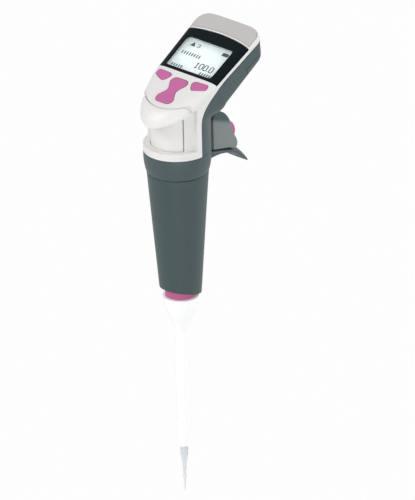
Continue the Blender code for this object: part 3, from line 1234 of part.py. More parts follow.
CABLE_Y = 3.2 * MM
CABLE_THICKNESS = 0.3 * MM
CABLE_HIGH = 25.0 * MM
CABLE_WIDTH = 6.0 * MM
CABLE_LENGTH = CABLE_HIGH - CAP_HIGH - GAP
place("motor_cable", box_mesh("motor_cable", (CABLE_WIDTH, CABLE_THICKNESS, CABLE_LENGTH), (
    0.0, CABLE_Y, CABLE_HIGH - CABLE_LENGTH / 2)), (0.75, 0.45, 0.12), 0.4)
PLUG_WIDTH = CABLE_WIDTH + 2.0 * MM
PLUG_DEPTH = 2.6 * MM
PLUG_HEIGHT = 2.2 * MM
place("cable_plug", box_mesh("cable_plug", (PLUG_WIDTH, PLUG_DEPTH, PLUG_HEIGHT), (
    0.0, CABLE_Y, CABLE_HIGH + GAP + PLUG_HEIGHT / 2)), (0.85, 0.84, 0.8), 0.5)
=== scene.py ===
"""Looks of the electronic pipette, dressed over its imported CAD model.

Metres, +Z up along the pipette's axis. The origin lies on that axis, in the plane where the
finger rest turns under the housing. -Y is the side of the keys, +Y the side of the hook.
"""

import math

import bmesh
import bpy
from mathutils import Matrix, Vector


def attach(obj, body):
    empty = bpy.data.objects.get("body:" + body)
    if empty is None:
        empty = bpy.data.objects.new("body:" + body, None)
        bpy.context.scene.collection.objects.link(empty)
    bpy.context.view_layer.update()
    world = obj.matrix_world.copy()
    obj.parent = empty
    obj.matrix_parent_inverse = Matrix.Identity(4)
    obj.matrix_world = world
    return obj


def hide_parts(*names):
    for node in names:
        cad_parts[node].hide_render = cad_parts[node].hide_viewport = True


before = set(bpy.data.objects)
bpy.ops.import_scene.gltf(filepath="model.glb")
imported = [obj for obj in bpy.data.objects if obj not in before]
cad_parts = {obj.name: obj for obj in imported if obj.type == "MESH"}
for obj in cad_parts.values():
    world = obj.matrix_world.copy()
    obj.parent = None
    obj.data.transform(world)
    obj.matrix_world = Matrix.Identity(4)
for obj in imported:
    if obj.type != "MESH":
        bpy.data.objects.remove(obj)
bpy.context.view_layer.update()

# Camera
# Seen from the front right and from above, with the slight roll of the photograph. The view
# is centred a little to the right of the axis and below the finger rest.

scene = bpy.context.scene
MM = 0.001
AZIMUTH = math.radians(43)
ELEVATION = math.radians(25)
ROLL = 0.0222
DISTANCE = 6.0
PHOTO_HEIGHT = 500
PIXEL = 0.540 * MM
VIEW_RIGHT = 15.1 * MM
VIEW_DOWN = 55.5 * MM


def new_object(name, data):
    """An object for this mesh, curve, lamp or camera, in the scene."""
    made = bpy.data.objects.new(name, data)
    scene.collection.objects.link(made)
    return made


away = Vector((
    math.cos(ELEVATION) * math.sin(AZIMUTH),
    -math.cos(ELEVATION) * math.cos(AZIMUTH),
    math.sin(ELEVATION)))
right = Vector((math.cos(AZIMUTH), math.sin(AZIMUTH), 0.0))
up = away.cross(right)
target = right * VIEW_RIGHT - up * VIEW_DOWN

camera_data = bpy.data.cameras.new("camera")
camera_data.sensor_width = 36.0
camera_data.lens = camera_data.sensor_width * DISTANCE / (PHOTO_HEIGHT * PIXEL)
camera_data.clip_end = 20.0
camera = new_object("camera", camera_data)
side = (right - up * ROLL).normalized()
above = (up + right * ROLL).normalized()
camera.matrix_world = Matrix.Translation(target + away * DISTANCE) @ Matrix((
    side, above, away)).transposed().to_4x4()
scene.camera = camera

# Floor and light
# A plain pale floor well below the tip, with white all round it, and large soft lights:
# the brightest from the left above, a wide one from the front and one from behind.

scene.view_settings.view_transform = "Standard"


def white_for_the_eye(tree, lit, brightness, output):
    """White where the camera, a mirror or clear plastic looks, and the lit shader elsewhere."""
    path = tree.nodes.new("ShaderNodeLightPath")
    through = tree.nodes.new("ShaderNodeMath")
    through.operation = "MAXIMUM"
    tree.links.new(path.outputs["Is Glossy Ray"], through.inputs[0])
    tree.links.new(path.outputs["Is Transmission Ray"], through.inputs[1])
    seen = tree.nodes.new("ShaderNodeMath")
    seen.operation = "MAXIMUM"
    tree.links.new(path.outputs["Is Camera Ray"], seen.inputs[0])
    tree.links.new(through.outputs[0], seen.inputs[1])
    plain = tree.nodes.new("ShaderNodeEmission" if lit.type != "BACKGROUND" else "ShaderNodeBackground")
    plain.inputs["Color"].default_value = (1.0, 1.0, 1.0, 1.0)
    plain.inputs["Strength"].default_value = brightness
    blend = tree.nodes.new("ShaderNodeMixShader")
    tree.links.new(seen.outputs[0], blend.inputs[0])
    tree.links.new(lit.outputs[0], blend.inputs[1])
    tree.links.new(plain.outputs[0], blend.inputs[2])
    tree.links.new(blend.outputs[0], output.inputs["Surface"])


BACKDROP_BRIGHTNESS = 0.985
world = bpy.data.worlds.new("studio")
world.use_nodes = True
scene.world = world
studio = world.node_tree.nodes["Background"]
studio.inputs["Color"].default_value = (0.97, 0.985, 1.0, 1.0)
studio.inputs["Strength"].default_value = 0.5
white_for_the_eye(
    world.node_tree, studio, BACKDROP_BRIGHTNESS, world.node_tree.nodes["World Output"])

FLOOR_DROP = 0.45
FLOOR_HALF = 4.0
floor_corners = [
    (x * FLOOR_HALF, y * FLOOR_HALF, -FLOOR_DROP) for x, y in ((-1, -1), (1, -1), (1, 1), (-1, 1))]
floor_mesh = bpy.data.meshes.new("floor")
floor_mesh.from_pydata(floor_corners, [], [(0, 1, 2, 3)])
new_object("floor", floor_mesh)


def new_material(name):
    """A material with nodes, its node tree and its shader."""
    made = bpy.data.materials.new(name)
    made.use_nodes = True
    return made, made.node_tree, made.node_tree.nodes["Principled BSDF"]


floor_paint, floor_tree, floor_shader = new_material("floor_paint")
floor_shader.inputs["Base Color"].default_value = (0.8, 0.8, 0.79, 1.0)
floor_shader.inputs["Roughness"].default_value = 0.7
white_for_the_eye(
    floor_tree, floor_shader, BACKDROP_BRIGHTNESS, floor_tree.nodes["Material Output"])
floor_mesh.materials.append(floor_paint)


def softbox(name, place, aim, width, height, power, colour):
    """A rectangular area light at a place, turned towards a point."""
    light = bpy.data.lights.new(name, "AREA")
    light.shape = "RECTANGLE"
    light.size = width
    light.size_y = height
    light.energy = power
    light.color = colour
    lamp = new_object(name, light)
    lamp.visible_camera = False
    lamp.location = place
    lamp.rotation_euler = (Vector(aim) - Vector(place)).to_track_quat("-Z", "Y").to_euler()


MIDDLE = (0.0, 0.0, -0.06)
softbox("key_light", (-0.55, -1.0, 0.95), MIDDLE, 0.7, 0.9, 9.4, (1.0, 0.985, 0.96))
softbox("front_fill", (1.0, -0.9, 0.1), MIDDLE, 1.0, 1.2, 7.8, (0.96, 0.98, 1.0))
softbox("rear_light", (0.7, 1.0, 0.7), MIDDLE, 0.5, 1.1, 7.0, (1.0, 1.0, 1.0))

# Moulded plastic
# Every plastic piece shares one surface: a faint cloudy tint, a fine moulded grain and a
# roughness that varies with both. Colour, grain size and gloss are set for each piece.


def add_socket(group, name, kind, way, value=None):
    """An input or output of a node group, with its starting value."""
    socket = group.interface.new_socket(name=name, in_out=way, socket_type=kind)
    if value is not None:
        socket.default_value = value


def moulded_surface():
    """The group: it gives a plastic's tinted colour, its roughness and its grain as a normal."""
    group = bpy.data.node_groups.new("moulded_surface", "ShaderNodeTree")
    add_socket(group, "Colour", "NodeSocketColor", "INPUT", (0.5, 0.5, 0.5, 1.0))
    add_socket(group, "Tint", "NodeSocketFloat", "INPUT", 0.05)
    add_socket(group, "Roughness", "NodeSocketFloat", "INPUT", 0.4)
    add_socket(group, "Polish", "NodeSocketFloat", "INPUT", 0.1)
    add_socket(group, "Grain Scale", "NodeSocketFloat", "INPUT", 3000.0)
    add_socket(group, "Grain Depth", "NodeSocketFloat", "INPUT", 0.1)
    add_socket(group, "Colour", "NodeSocketColor", "OUTPUT")
    add_socket(group, "Roughness", "NodeSocketFloat", "OUTPUT")
    add_socket(group, "Normal", "NodeSocketVector", "OUTPUT")
    nodes, links = group.nodes, group.links
    given = nodes.new("NodeGroupInput")
    made = nodes.new("NodeGroupOutput")
    where = nodes.new("ShaderNodeTexCoord")

    clouds = nodes.new("ShaderNodeTexNoise")
    clouds.inputs["Scale"].default_value = 45.0
    clouds.inputs["Detail"].default_value = 5.0
    clouds.inputs["Roughness"].default_value = 0.6
    links.new(where.outputs["Object"], clouds.inputs["Vector"])
    grain = nodes.new("ShaderNodeTexNoise")
    grain.inputs["Detail"].default_value = 2.0
    links.new(where.outputs["Object"], grain.inputs["Vector"])
    links.new(given.outputs["Grain Scale"], grain.inputs["Scale"])

    shade = nodes.new("ShaderNodeMath")
    shade.operation = "MULTIPLY_ADD"
    centred = nodes.new("ShaderNodeMath")
    centred.operation = "SUBTRACT"
    centred.inputs[1].default_value = 0.5
    links.new(clouds.outputs["Fac"], centred.inputs[0])
    links.new(centred.outputs[0], shade.inputs[0])
    links.new(given.outputs["Tint"], shade.inputs[1])
    shade.inputs[2].default_value = 1.0
    tinted = nodes.new("ShaderNodeVectorMath")
    tinted.operation = "SCALE"
    links.new(given.outputs["Colour"], tinted.inputs[0])
    links.new(shade.outputs[0], tinted.inputs["Scale"])
    links.new(tinted.outputs[0], made.inputs["Colour"])

    gloss = nodes.new("ShaderNodeMath")
    gloss.operation = "MULTIPLY_ADD"
    links.new(centred.outputs[0], gloss.inputs[0])
    links.new(given.outputs["Polish"], gloss.inputs[1])
    links.new(given.outputs["Roughness"], gloss.inputs[2])
    links.new(gloss.outputs[0], made.inputs["Roughness"])

    bump = nodes.new("ShaderNodeBump")
    bump.inputs["Distance"].default_value = 0.05 * MM
    links.new(given.outputs["Grain Depth"], bump.inputs["Strength"])
    links.new(grain.outputs["Fac"], bump.inputs["Height"])
    links.new(bump.outputs["Normal"], made.inputs["Normal"])
    return group


MOULDED = moulded_surface()


def plastic(name, colour, roughness, grain_size=0.35 * MM, grain_depth=0.25, tint=0.06, polish=0.12,
            coat=0.0, metallic=0.0):
    """A material on the moulded surface: colour in linear light, grain size in metres."""
    made, tree, shader = new_material(name)
    surface = tree.nodes.new("ShaderNodeGroup")
    surface.node_tree = MOULDED
    surface.inputs["Colour"].default_value = (*colour, 1.0)
    surface.inputs["Tint"].default_value = tint
    surface.inputs["Roughness"].default_value = roughness
    surface.inputs["Polish"].default_value = polish
    surface.inputs["Grain Scale"].default_value = 1.0 / grain_size
    surface.inputs["Grain Depth"].default_value = grain_depth
    tree.links.new(surface.outputs["Colour"], shader.inputs["Base Color"])
    tree.links.new(surface.outputs["Roughness"], shader.inputs["Roughness"])
    tree.links.new(surface.outputs["Normal"], shader.inputs["Normal"])
    shader.inputs["Metallic"].default_value = metallic
    shader.inputs["Coat Weight"].default_value = coat
    shader.inputs["Coat Roughness"].default_value = 0.1
    return made


shell_white = plastic("shell_white", (0.78, 0.765, 0.75), 0.36, 0.5 * MM, 0.1, tint=0.03)
shell_dark = plastic("shell_dark", (0.05, 0.077, 0.083), 0.5, 0.45 * MM, 0.45, tint=0.14)

# Head form
# The same form as the CAD head, in finer steps: sections fan round a pivot behind the neck,
# from the round collar to the flat face, and run on along the tilted head to its rounded end.

GAP = 0.3 * MM
BODY_RADIUS = 18.5 * MM
HOUSING_WALL = 2.0 * MM
PIVOT = Vector((0.0, 24.0 * MM, 14.0 * MM))
FACE_BREAK = Vector((0.0, 9.8 * MM, 40.1 * MM))
DISPLAY_TILT = math.radians(27.5)
KEY_TILT = math.radians(23.0)
UNDER_TILT = math.radians(31.5)
UNDER_START = Vector((0.0, BODY_RADIUS, 23.0 * MM))
HEAD_NECK_HALF_WIDTH = 21.9 * MM
HEAD_END_HALF_WIDTH = 23.3 * MM
HEAD_LENGTH = 42.9 * MM
HEAD_END_THICKNESS = 17.8 * MM
HEAD_END_LEAN = math.radians(24.0)
HEAD_END_ROUND = 2.6 * MM
HEAD_CORNER_LENGTH = 8.0 * MM
HEAD_CORNER_WIDTH = 14.5 * MM
FACE_SQUARENESS = 8.0
UNDER_SQUARENESS = 3.4
BLEND = 4.0 * MM
SPREAD_FROM = math.radians(8)
SQUARE_FROM = math.radians(10)
SQUARE_TO = math.radians(60)
FLAT_FROM = math.radians(20)
HEAD_TURN = Matrix.Translation(FACE_BREAK) @ Matrix.Rotation(DISPLAY_TILT, 4, "X")
KEY_TURN = Matrix.Translation(FACE_BREAK) @ Matrix.Rotation(KEY_TILT, 4, "X")
FAN_END = math.pi / 2 - DISPLAY_TILT


def mix(first, second, share):
    """The value at this share of the way from the first to the second."""
    return first + (second - first) * share


def smooth_step(low, high, value):
    """0 below the low value, 1 above the high one, and a soft S between them."""
    share = min(max((value - low) / (high - low), 0.0), 1.0)
    return share * share * (3 - 2 * share)


def smooth_min(first, second, width):
    """The smaller of two values, with a round corner of this width where they cross."""
    blend = max(width - abs(first - second), 0.0) / width
    return min(first, second) - blend * blend * width / 4


def loft(name, rings, closed=False):
    """Skin a row of equal rings; an open row is capped at both ends."""
    shape = bmesh.new()
    rows = [[shape.verts.new(point) for point in ring] for ring in rings]
    pairs = list(zip(rows[:-1], rows[1:]))
    if closed:
        pairs.append((rows[-1], rows[0]))
    count = len(rows[0])
    for lower, upper in pairs:
        for index in range(count):
            after = (index + 1) % count
            shape.faces.new((lower[index], lower[after], upper[after], upper[index]))
    if not closed:
        shape.faces.new(list(reversed(rows[0])))
        shape.faces.new(rows[-1])
    bmesh.ops.recalc_face_normals(shape, faces=shape.faces)
    mesh = bpy.data.meshes.new(name)
    shape.to_mesh(mesh)
    shape.free()
    return mesh


def plane_distance(ray, point, tilt):
    """How far along a ray from the pivot a tilted plane lies."""
    normal = Vector((0.0, -math.sin(tilt), math.cos(tilt)))
    return (point - PIVOT).dot(normal) / ray.dot(normal)


def fan_ends(angle):
    """Upper and under end of the section at this angle of the fan."""
    ray = Vector((0.0, -math.cos(angle), math.sin(angle)))
    keys = plane_distance(ray, FACE_BREAK, KEY_TILT)
    display = plane_distance(ray, FACE_BREAK, DISPLAY_TILT)
    face = -smooth_min(-keys, -display, BLEND)
    front = smooth_min((PIVOT.y + BODY_RADIUS) / math.cos(angle), face, BLEND)
    under = plane_distance(ray, UNDER_START, UNDER_TILT)
    back = smooth_min((PIVOT.y - BODY_RADIUS) / math.cos(angle), under, BLEND)
    return PIVOT + ray * front, PIVOT + ray * back


def around(sides, offset=0.0):
    """Cosine and sine at equal steps of a full turn."""
    for index in range(sides):
        angle = math.tau * (index + offset) / sides
        yield math.cos(angle), math.sin(angle)


def section(top, under, half_width, top_power, under_power, sides):
    """One closed section: a squared oval between its upper and its under end."""
    middle, half = (top + under) / 2, (top - under) / 2
    ring = []
    for aside, high in around(sides, 0.5):
        power = 2.0 / (top_power if high > 0 else under_power)
        wide = math.copysign(abs(aside) ** power, aside) * half_width
        ring.append(middle + half * math.copysign(abs(high) ** power, high) + Vector((wide, 0.0, 0.0)))
    return ring


def corner_pull(remaining):
    """How far the sides of the head draw in along its oval corners, this near to its end."""
    inside = max(1 - max(remaining, 0.0) / HEAD_CORNER_LENGTH, 0.0)
    return HEAD_CORNER_WIDTH * (1 - math.sqrt(1 - inside ** 2))


def head_mesh(name, inset, low, sides=144, fan_steps=36):
    """The outside of neck and head, made smaller all round by the inset."""
    rings = []

    def add(top, under, half_width, top_power, under_power):
        along = (top - under).normalized() * inset
        rings.append(section(
            top - along, under + along, half_width - inset, top_power, under_power, sides))

    add(Vector((0.0, -BODY_RADIUS, low)), Vector((0.0, BODY_RADIUS, low)), BODY_RADIUS, 2.0, 2.0)
    for step in range(fan_steps + 1):
        angle = FAN_END * step / fan_steps
        top, under = fan_ends(angle)
        spread = smooth_step(SPREAD_FROM, FAN_END, angle)
        square = smooth_step(SQUARE_FROM, SQUARE_TO, angle)
        flat = smooth_step(FLAT_FROM, FAN_END, angle)
        add(top, under, mix(BODY_RADIUS, HEAD_NECK_HALF_WIDTH, spread),
            mix(2.0, FACE_SQUARENESS, square), mix(2.0, UNDER_SQUARENESS, flat))

    lean = math.pi / 2 + DISPLAY_TILT - HEAD_END_LEAN
    rise = Vector((0.0, math.cos(lean), math.sin(lean)))
    outward = Vector((0.0, math.sin(lean), -math.cos(lean)))
    end_top = HEAD_TURN @ Vector((0.0, HEAD_LENGTH, 0.0)) - outward * (HEAD_END_ROUND + inset)
    end_under = end_top - rise * HEAD_END_THICKNESS
    slab_length = (end_top - top).length
    slab_steps, round_steps = 16, 8
    for step in range(1, slab_steps + 1):
        share = math.sin(math.pi / 2 * step / slab_steps)
        remaining = slab_length * (1 - share) + HEAD_END_ROUND
        add(top.lerp(end_top, share), under.lerp(end_under, share),
            mix(HEAD_NECK_HALF_WIDTH, HEAD_END_HALF_WIDTH, share) - corner_pull(remaining),
            FACE_SQUARENESS, UNDER_SQUARENESS)
    for step in range(1, round_steps + 1):
        turn = math.pi / 2 * step / round_steps
        pulled = HEAD_END_ROUND * (1 - math.cos(turn))
        reach = outward * (HEAD_END_ROUND * math.sin(turn))
        add(end_top + reach - rise * pulled, end_under + reach + rise * pulled,
            HEAD_END_HALF_WIDTH - corner_pull(HEAD_END_ROUND * (1 - math.sin(turn))),
            FACE_SQUARENESS, UNDER_SQUARENESS)
    return loft(name, rings)


# Turns a drawing of (Y, Z) points with its thickness along Z into one with its thickness along X
SIDE_VIEW = Matrix(((0, 0, 1, 0), (1, 0, 0, 0), (0, 1, 0, 0), (0, 0, 0, 1)))


def applied_mesh(item, name):
    """The mesh that an object makes with its modifiers, in place of the object."""
    graph = bpy.context.evaluated_depsgraph_get()
    made = bpy.data.meshes.new_from_object(item.evaluated_get(graph))
    made.name = name
    bpy.data.objects.remove(item, do_unlink=True)
    return made


def outline_mesh(name, points, low, high, turn=Matrix.Identity(4)):
    """A flat outline drawn in X and Y, as thick as from low to high along Z, then turned."""
    drawn = bpy.data.curves.new(name, "CURVE")
    drawn.dimensions = "2D"
    drawn.fill_mode = "BOTH"
    drawn.extrude = (high - low) / 2
    line = drawn.splines.new("POLY")
    line.points.add(len(points) - 1)
    for knot, point in zip(line.points, points):
        knot.co = (point[0], point[1], 0.0, 1.0)
    line.use_cyclic_u = True
    mesh = applied_mesh(new_object(name, drawn), name)
    mesh.transform(turn @ Matrix.Translation((0.0, 0.0, (low + high) / 2)))
    shape = bmesh.new()
    shape.from_mesh(mesh)
    bmesh.ops.remove_doubles(shape, verts=shape.verts, dist=0.001 * MM)
    bmesh.ops.recalc_face_normals(shape, faces=shape.faces)
    shape.to_mesh(mesh)
    shape.free()
    return mesh


def box_mesh(name, size, centre, turn=Matrix.Identity(4)):
    """A block about its centre, turned as a whole."""
    half_x, half_y = size[0] / 2, size[1] / 2
    corners = [(-half_x, -half_y), (half_x, -half_y), (half_x, half_y), (-half_x, half_y)]
    placed = [(centre[0] + x, centre[1] + y) for x, y in corners]
    return outline_mesh(name, placed, centre[2] - size[2] / 2, centre[2] + size[2] / 2, turn)


def from_front(radius, angle):
    """X and Y at this distance from the axis and this angle from the -Y side."""
    return radius * math.sin(angle), -radius * math.cos(angle)


def sector_outline(inner, outer, half_angle, steps=48):
    """Part of a ring about the axis, centred on the -Y side."""
    points = []
    for radius, order in ((outer, 1), (inner, -1)):
        for step in range(steps + 1):
            points.append(from_front(radius, order * half_angle * (2 * step / steps - 1)))
    return points


def carve(mesh, *cuts):
    """The mesh after exact booleans, each given as (operation, tool mesh)."""
    body = new_object(mesh.name, mesh)
    tools = []
    for operation, tool_mesh in cuts:
        tools.append(new_object(tool_mesh.name, tool_mesh))
        change = body.modifiers.new(tool_mesh.name, "BOOLEAN")
        change.operation = operation
        change.object = tools[-1]
    made = applied_mesh(body, mesh.name)
    for tool in tools:
        bpy.data.objects.remove(tool, do_unlink=True)
    return made


def show(name, mesh, material, body, replaces=(), crease=32.0):
    """One visible piece: smooth round faces, its material, and the CAD body that it rides on."""
    piece = new_object(name, mesh)
    mesh.shade_smooth()
    mesh.set_sharp_from_angle(angle=math.radians(crease))
    mesh.materials.clear()
    mesh.materials.append(material)
    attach(piece, body)
    if replaces:
        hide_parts(*replaces)
    return piece


# Seam and pockets of the head
# The white front shell meets the dark rear shell along a seam that rises straight up the
# neck and bends into a line just under the face. The thumb pocket is cut into the front.

SEAM_DROP = 2.3 * MM
SEAM_BEND_LOW = 19.0 * MM
SEAM_BEND_FAR = 17.0 * MM
SEAM_LOW = -5.0 * MM
SEAM_REACH = 80.0 * MM
REACH = 30.0 * MM
EDGE = 100.0 * MM


def seam_outline(shift, forward):
    """Everything in front of or behind the seam, as (Y, Z) points."""
    far = HEAD_TURN @ Vector((0.0, SEAM_REACH, -SEAM_DROP))
    along = (SEAM_BEND_FAR - FACE_BREAK.y) / math.cos(DISPLAY_TILT)
    join = HEAD_TURN @ Vector((0.0, along, -SEAM_DROP))
    corner_z = join.z - join.y * math.tan(DISPLAY_TILT)
    points = [(shift, SEAM_LOW)]
    steps = 24
    for step in range(steps + 1):
        share = step / steps
        z = (SEAM_BEND_LOW * (1 - share) ** 2 + corner_z * 2 * share * (1 - share)
             + join.z * share ** 2)
        points.append((join.y * share ** 2 + shift, z - shift))
    points.append((far.y + shift, far.z - shift))
    if forward:
        return points + [(far.y, EDGE), (-EDGE, EDGE), (-EDGE, SEAM_LOW)]
    return points + [(EDGE, SEAM_LOW)]


POCKET_FLOOR = 4.0 * MM
POCKET_HALF_ANGLE = math.radians(79.0)
POCKET_RADIUS = 16.0 * MM
POCKET_OUTER = BODY_RADIUS + 12.0 * MM
POCKET_TOP = 28.8 * MM
STEM_RADIUS = 14.3 * MM
STEM_PLAY = math.radians(1.2)
STEM_WALL = 1.5 * MM
STEM_HALF_ANGLE = math.radians(56.0)
STEM_BOTTOM = -2.5 * MM
MID_RADIUS = STEM_RADIUS - STEM_WALL - GAP
MID_PLAY = math.radians(1.6)
MID_HALF_ANGLE = STEM_HALF_ANGLE + MID_PLAY
MID_DROP = 1.6 * MM
MID_TOP = POCKET_TOP - MID_DROP
LINER_SPREAD = HOUSING_WALL / POCKET_RADIUS
RIM_LINER_WALL = 1.2 * HOUSING_WALL
FLOOR_STAGGER = 0.02 * MM
CAVITY_LOW = -3.0 * MM
RIM_RADIUS = 19.9 * MM
RIM_GAP = 0.5 * MM
RIM_CENTRE_Y = 4.8 * MM
RIM_LOW = 26.0 * MM
RIM_HALF_ANGLE = math.radians(70.0)


def rim_distance(angle, radius):
    """How far the arc that ends the key face lies from the axis, at this angle from the front."""
    along = RIM_CENTRE_Y * math.cos(angle)
    return math.sqrt(along ** 2 + radius ** 2 - RIM_CENTRE_Y ** 2) - along


def rim_block(name, radius, half_angle, low, steps=96):
    """All that lies in front of that arc, above the given level."""
    points = []
    for step in range(steps + 1):
        angle = half_angle * (2 * step / steps - 1)
        points.append(from_front(rim_distance(angle, radius), angle))
    points.append(from_front(POCKET_OUTER, half_angle))
    points.append((0.0, -POCKET_OUTER * 2))
    points.append(from_front(POCKET_OUTER, -half_angle))
    return outline_mesh(name, points, low, EDGE)


cavity = head_mesh("cavity", HOUSING_WALL, CAVITY_LOW, sides=48, fan_steps=16)
front_cavity = carve(
    cavity.copy(),
    ("DIFFERENCE", rim_block("rim_liner", RIM_RADIUS - GAP - RIM_LINER_WALL,
                             RIM_HALF_ANGLE + LINER_SPREAD, RIM_LOW - HOUSING_WALL, 24)),
    ("DIFFERENCE", outline_mesh("liner", sector_outline(
        POCKET_RADIUS - HOUSING_WALL, POCKET_OUTER, POCKET_HALF_ANGLE + LINER_SPREAD),
        POCKET_FLOOR - HOUSING_WALL, POCKET_TOP + HOUSING_WALL)),
    ("DIFFERENCE", outline_mesh("mid_liner", sector_outline(
        MID_RADIUS - HOUSING_WALL, POCKET_OUTER + MM, MID_HALF_ANGLE + LINER_SPREAD),
        POCKET_FLOOR - HOUSING_WALL + FLOOR_STAGGER, MID_TOP + HOUSING_WALL)))

# Display window and crown
# Both are thin plates let into the face and cut from the head's own form, so they follow
# its corners. The window is gloss black; the crown across the top is bare warm grey.

BEZEL_BOTTOM_WIDTH = 41.8 * MM
BEZEL_TOP_WIDTH = 43.8 * MM
BEZEL_START = -0.4 * MM
BEZEL_LENGTH = 28.0 * MM
BEZEL_ARC = 2.4 * MM
BEZEL_LOW = -1.6 * MM
PLATE = 1.0 * MM
LCD_MIDDLE = -1.1 * MM
LCD_WIDTH = 33.2 * MM
LCD_LENGTH = 21.4 * MM
LCD_START = 1.4 * MM
LCD_CORNER = 1.9 * MM
LCD_CUT_LOW = -6.0 * MM
CROWN_STRIP = 1.5 * MM
CROWN_MARGIN = 2.0 * MM
CROWN_LOW = -1.3 * MM


def window_outline(grow):
    """Straight below and at the sides, with a gentle arc along the top."""
    base, top = BEZEL_START - grow, BEZEL_START + BEZEL_LENGTH + grow
    low_half, high_half = BEZEL_BOTTOM_WIDTH / 2 + grow, BEZEL_TOP_WIDTH / 2 + grow
    points = [(-low_half, base), (low_half, base)]
    steps = 36
    for step in range(steps + 1):
        x = high_half * (1 - 2 * step / steps)
        points.append((x, top + BEZEL_ARC * (1 - (x / high_half) ** 2)))
    return points


def crown_outline(grow):
    """From the strip above the window to past the end of the head."""
    start = BEZEL_START + BEZEL_LENGTH + CROWN_STRIP - grow
    half = HEAD_END_HALF_WIDTH - CROWN_MARGIN + grow
    steps = 24
    remaining = [HEAD_CORNER_LENGTH * (1 - step / steps) ** 2 for step in range(steps - 2)]
    corner = [(half - corner_pull(left_over), HEAD_LENGTH - left_over) for left_over in remaining]
    far = corner[-1][0]
    points = corner + [(far, HEAD_LENGTH * 2), (-far, HEAD_LENGTH * 2)]
    points += [(-x, y) for x, y in reversed(corner)]
    for step in range(steps + 1):
        x = half * (2 * step / steps - 1)
        points.append((x, start + BEZEL_ARC * (1 - (x / half) ** 2)))
    return points


def rounded_outline(half_width, low, high, corner, steps=10):
    """A rectangle with round corners, even about the middle."""
    points = []
    middles = ((half_width - corner, high - corner, 0), (corner - half_width, high - corner, 90),
               (corner - half_width, low + corner, 180), (half_width - corner, low + corner, 270))
    for x, y, start in middles:
        for step in range(steps + 1):
            angle = math.radians(start + 90 * step / steps)
            points.append((x + corner * math.cos(angle), y + corner * math.sin(angle)))
    return points


def skin_plate(name, outline, low, thickness):
    """A plate that lies in the face of the head, cut from the head's own form."""
    return carve(
        head_mesh(name, 0.0, 0.0),
        ("INTERSECT", outline_mesh(name + "_edge", outline, low, REACH, HEAD_TURN)),
        ("DIFFERENCE", head_mesh(name + "_back", thickness, 0.0)))


def skin_recess(name, outline, low, depth):
    """The recess that takes such a plate."""
    return carve(
        outline_mesh(name, outline, low, REACH, HEAD_TURN),
        ("DIFFERENCE", head_mesh(name + "_floor", depth, 0.0)))


LCD_TURN = HEAD_TURN @ Matrix.Translation((LCD_MIDDLE, 0.0, 0.0))
lcd_opening = outline_mesh("lcd_opening", rounded_outline(
    LCD_WIDTH / 2, LCD_START, LCD_START + LCD_LENGTH, LCD_CORNER), LCD_CUT_LOW, REACH, LCD_TURN)
window_plate = carve(
    skin_plate("window_plate", window_outline(0.0), BEZEL_LOW, PLATE), ("DIFFERENCE", lcd_opening))
gloss_black = plastic(
    "gloss_black", (0.004, 0.009, 0.011), 0.14, 1.2 * MM, 0.02, tint=0.3, polish=0.1)
gloss_black.node_tree.nodes["Principled BSDF"].inputs["IOR"].default_value = 1.14
show("display_window", window_plate, gloss_black, "housing", ["display_bezel"])

crown_grey = plastic("crown_grey", (0.52, 0.5, 0.49), 0.4, 0.5 * MM, 0.12, tint=0.04)
show("crown_plate", skin_plate("crown_plate", crown_outline(0.0), CROWN_LOW, PLATE),
     crown_grey, "housing", ["crown_panel"])

# Keys
# A waisted rocker in the middle and a soft key at each side, drawn down to a round point near
# its inner end. They stand a little proud of the face, moulded in satin magenta pink.

KEY_LIFT = 0.9 * MM
KEY_DEPTH = 2.5 * MM
KEY_TRAVEL = 0.7 * MM
SCROLL_LOBE = 6.1 * MM
SCROLL_WAIST = 3.1 * MM
SCROLL_LENGTH = 18.4 * MM
SCROLL_CENTRE = -14.0 * MM
SCROLL_SWELL = 1.28
SCROLL_END_FROM = 0.9
SCROLL_END_RATE = 1.9
KEY_ROUND = 0.5 * MM
KEY_ROUND_STEPS = 5
SOFT_KEY_INNER = 7.8 * MM
SOFT_KEY_OUTER = 18.2 * MM
SOFT_KEY_UPPER = -3.1 * MM
SOFT_KEY_LOWER = -9.4 * MM


def scroll_outline(grow):
    """One wavy side and its mirror image."""
    points = []
    steps = 40
    half = SCROLL_LENGTH / 2 + grow
    for side_of in (1, -1):
        for step in range(steps + 1):
            share = 2 * step / steps - 1
            swell = math.sin(min(abs(share) * SCROLL_SWELL, 1.0) * math.pi / 2) ** 2
            inside = max(abs(share) * SCROLL_END_RATE - SCROLL_END_FROM, 0.0)
            ends = math.sqrt(max(1 - inside ** 2, 0.0))
            x = (mix(SCROLL_WAIST, SCROLL_LOBE, swell) + grow) * (0.5 + 0.5 * ends)
            points.append((side_of * x, SCROLL_CENTRE + side_of * half * share))
    return points


def soft_key_outline(grow):
    """The right soft key: straight above, drawn down to a rounded point near its inner end."""
    inner, outer = SOFT_KEY_INNER - grow, SOFT_KEY_OUTER + grow
    low, high = SOFT_KEY_LOWER - grow, SOFT_KEY_UPPER + grow
    length, height = outer - inner, high - low
    corners = [(0.03, 0.47), (0.11, 0.24), (0.19, 0.08), (0.27, 0.0), (0.37, 0.02), (0.56, 0.12),
               (0.9, 0.37), (0.98, 0.47), (1.0, 0.62), (0.98, 0.84), (0.92, 0.97), (0.82, 1.0),
               (0.2, 0.95), (0.09, 0.88), (0.02, 0.75), (0.0, 0.6)]
    return [(inner + along * length, low + rise_share * height) for along, rise_share in corners]


def left_key_outline(grow):
    """The mirror image of the right one."""
    return [(-x, y) for x, y in reversed(soft_key_outline(grow))]


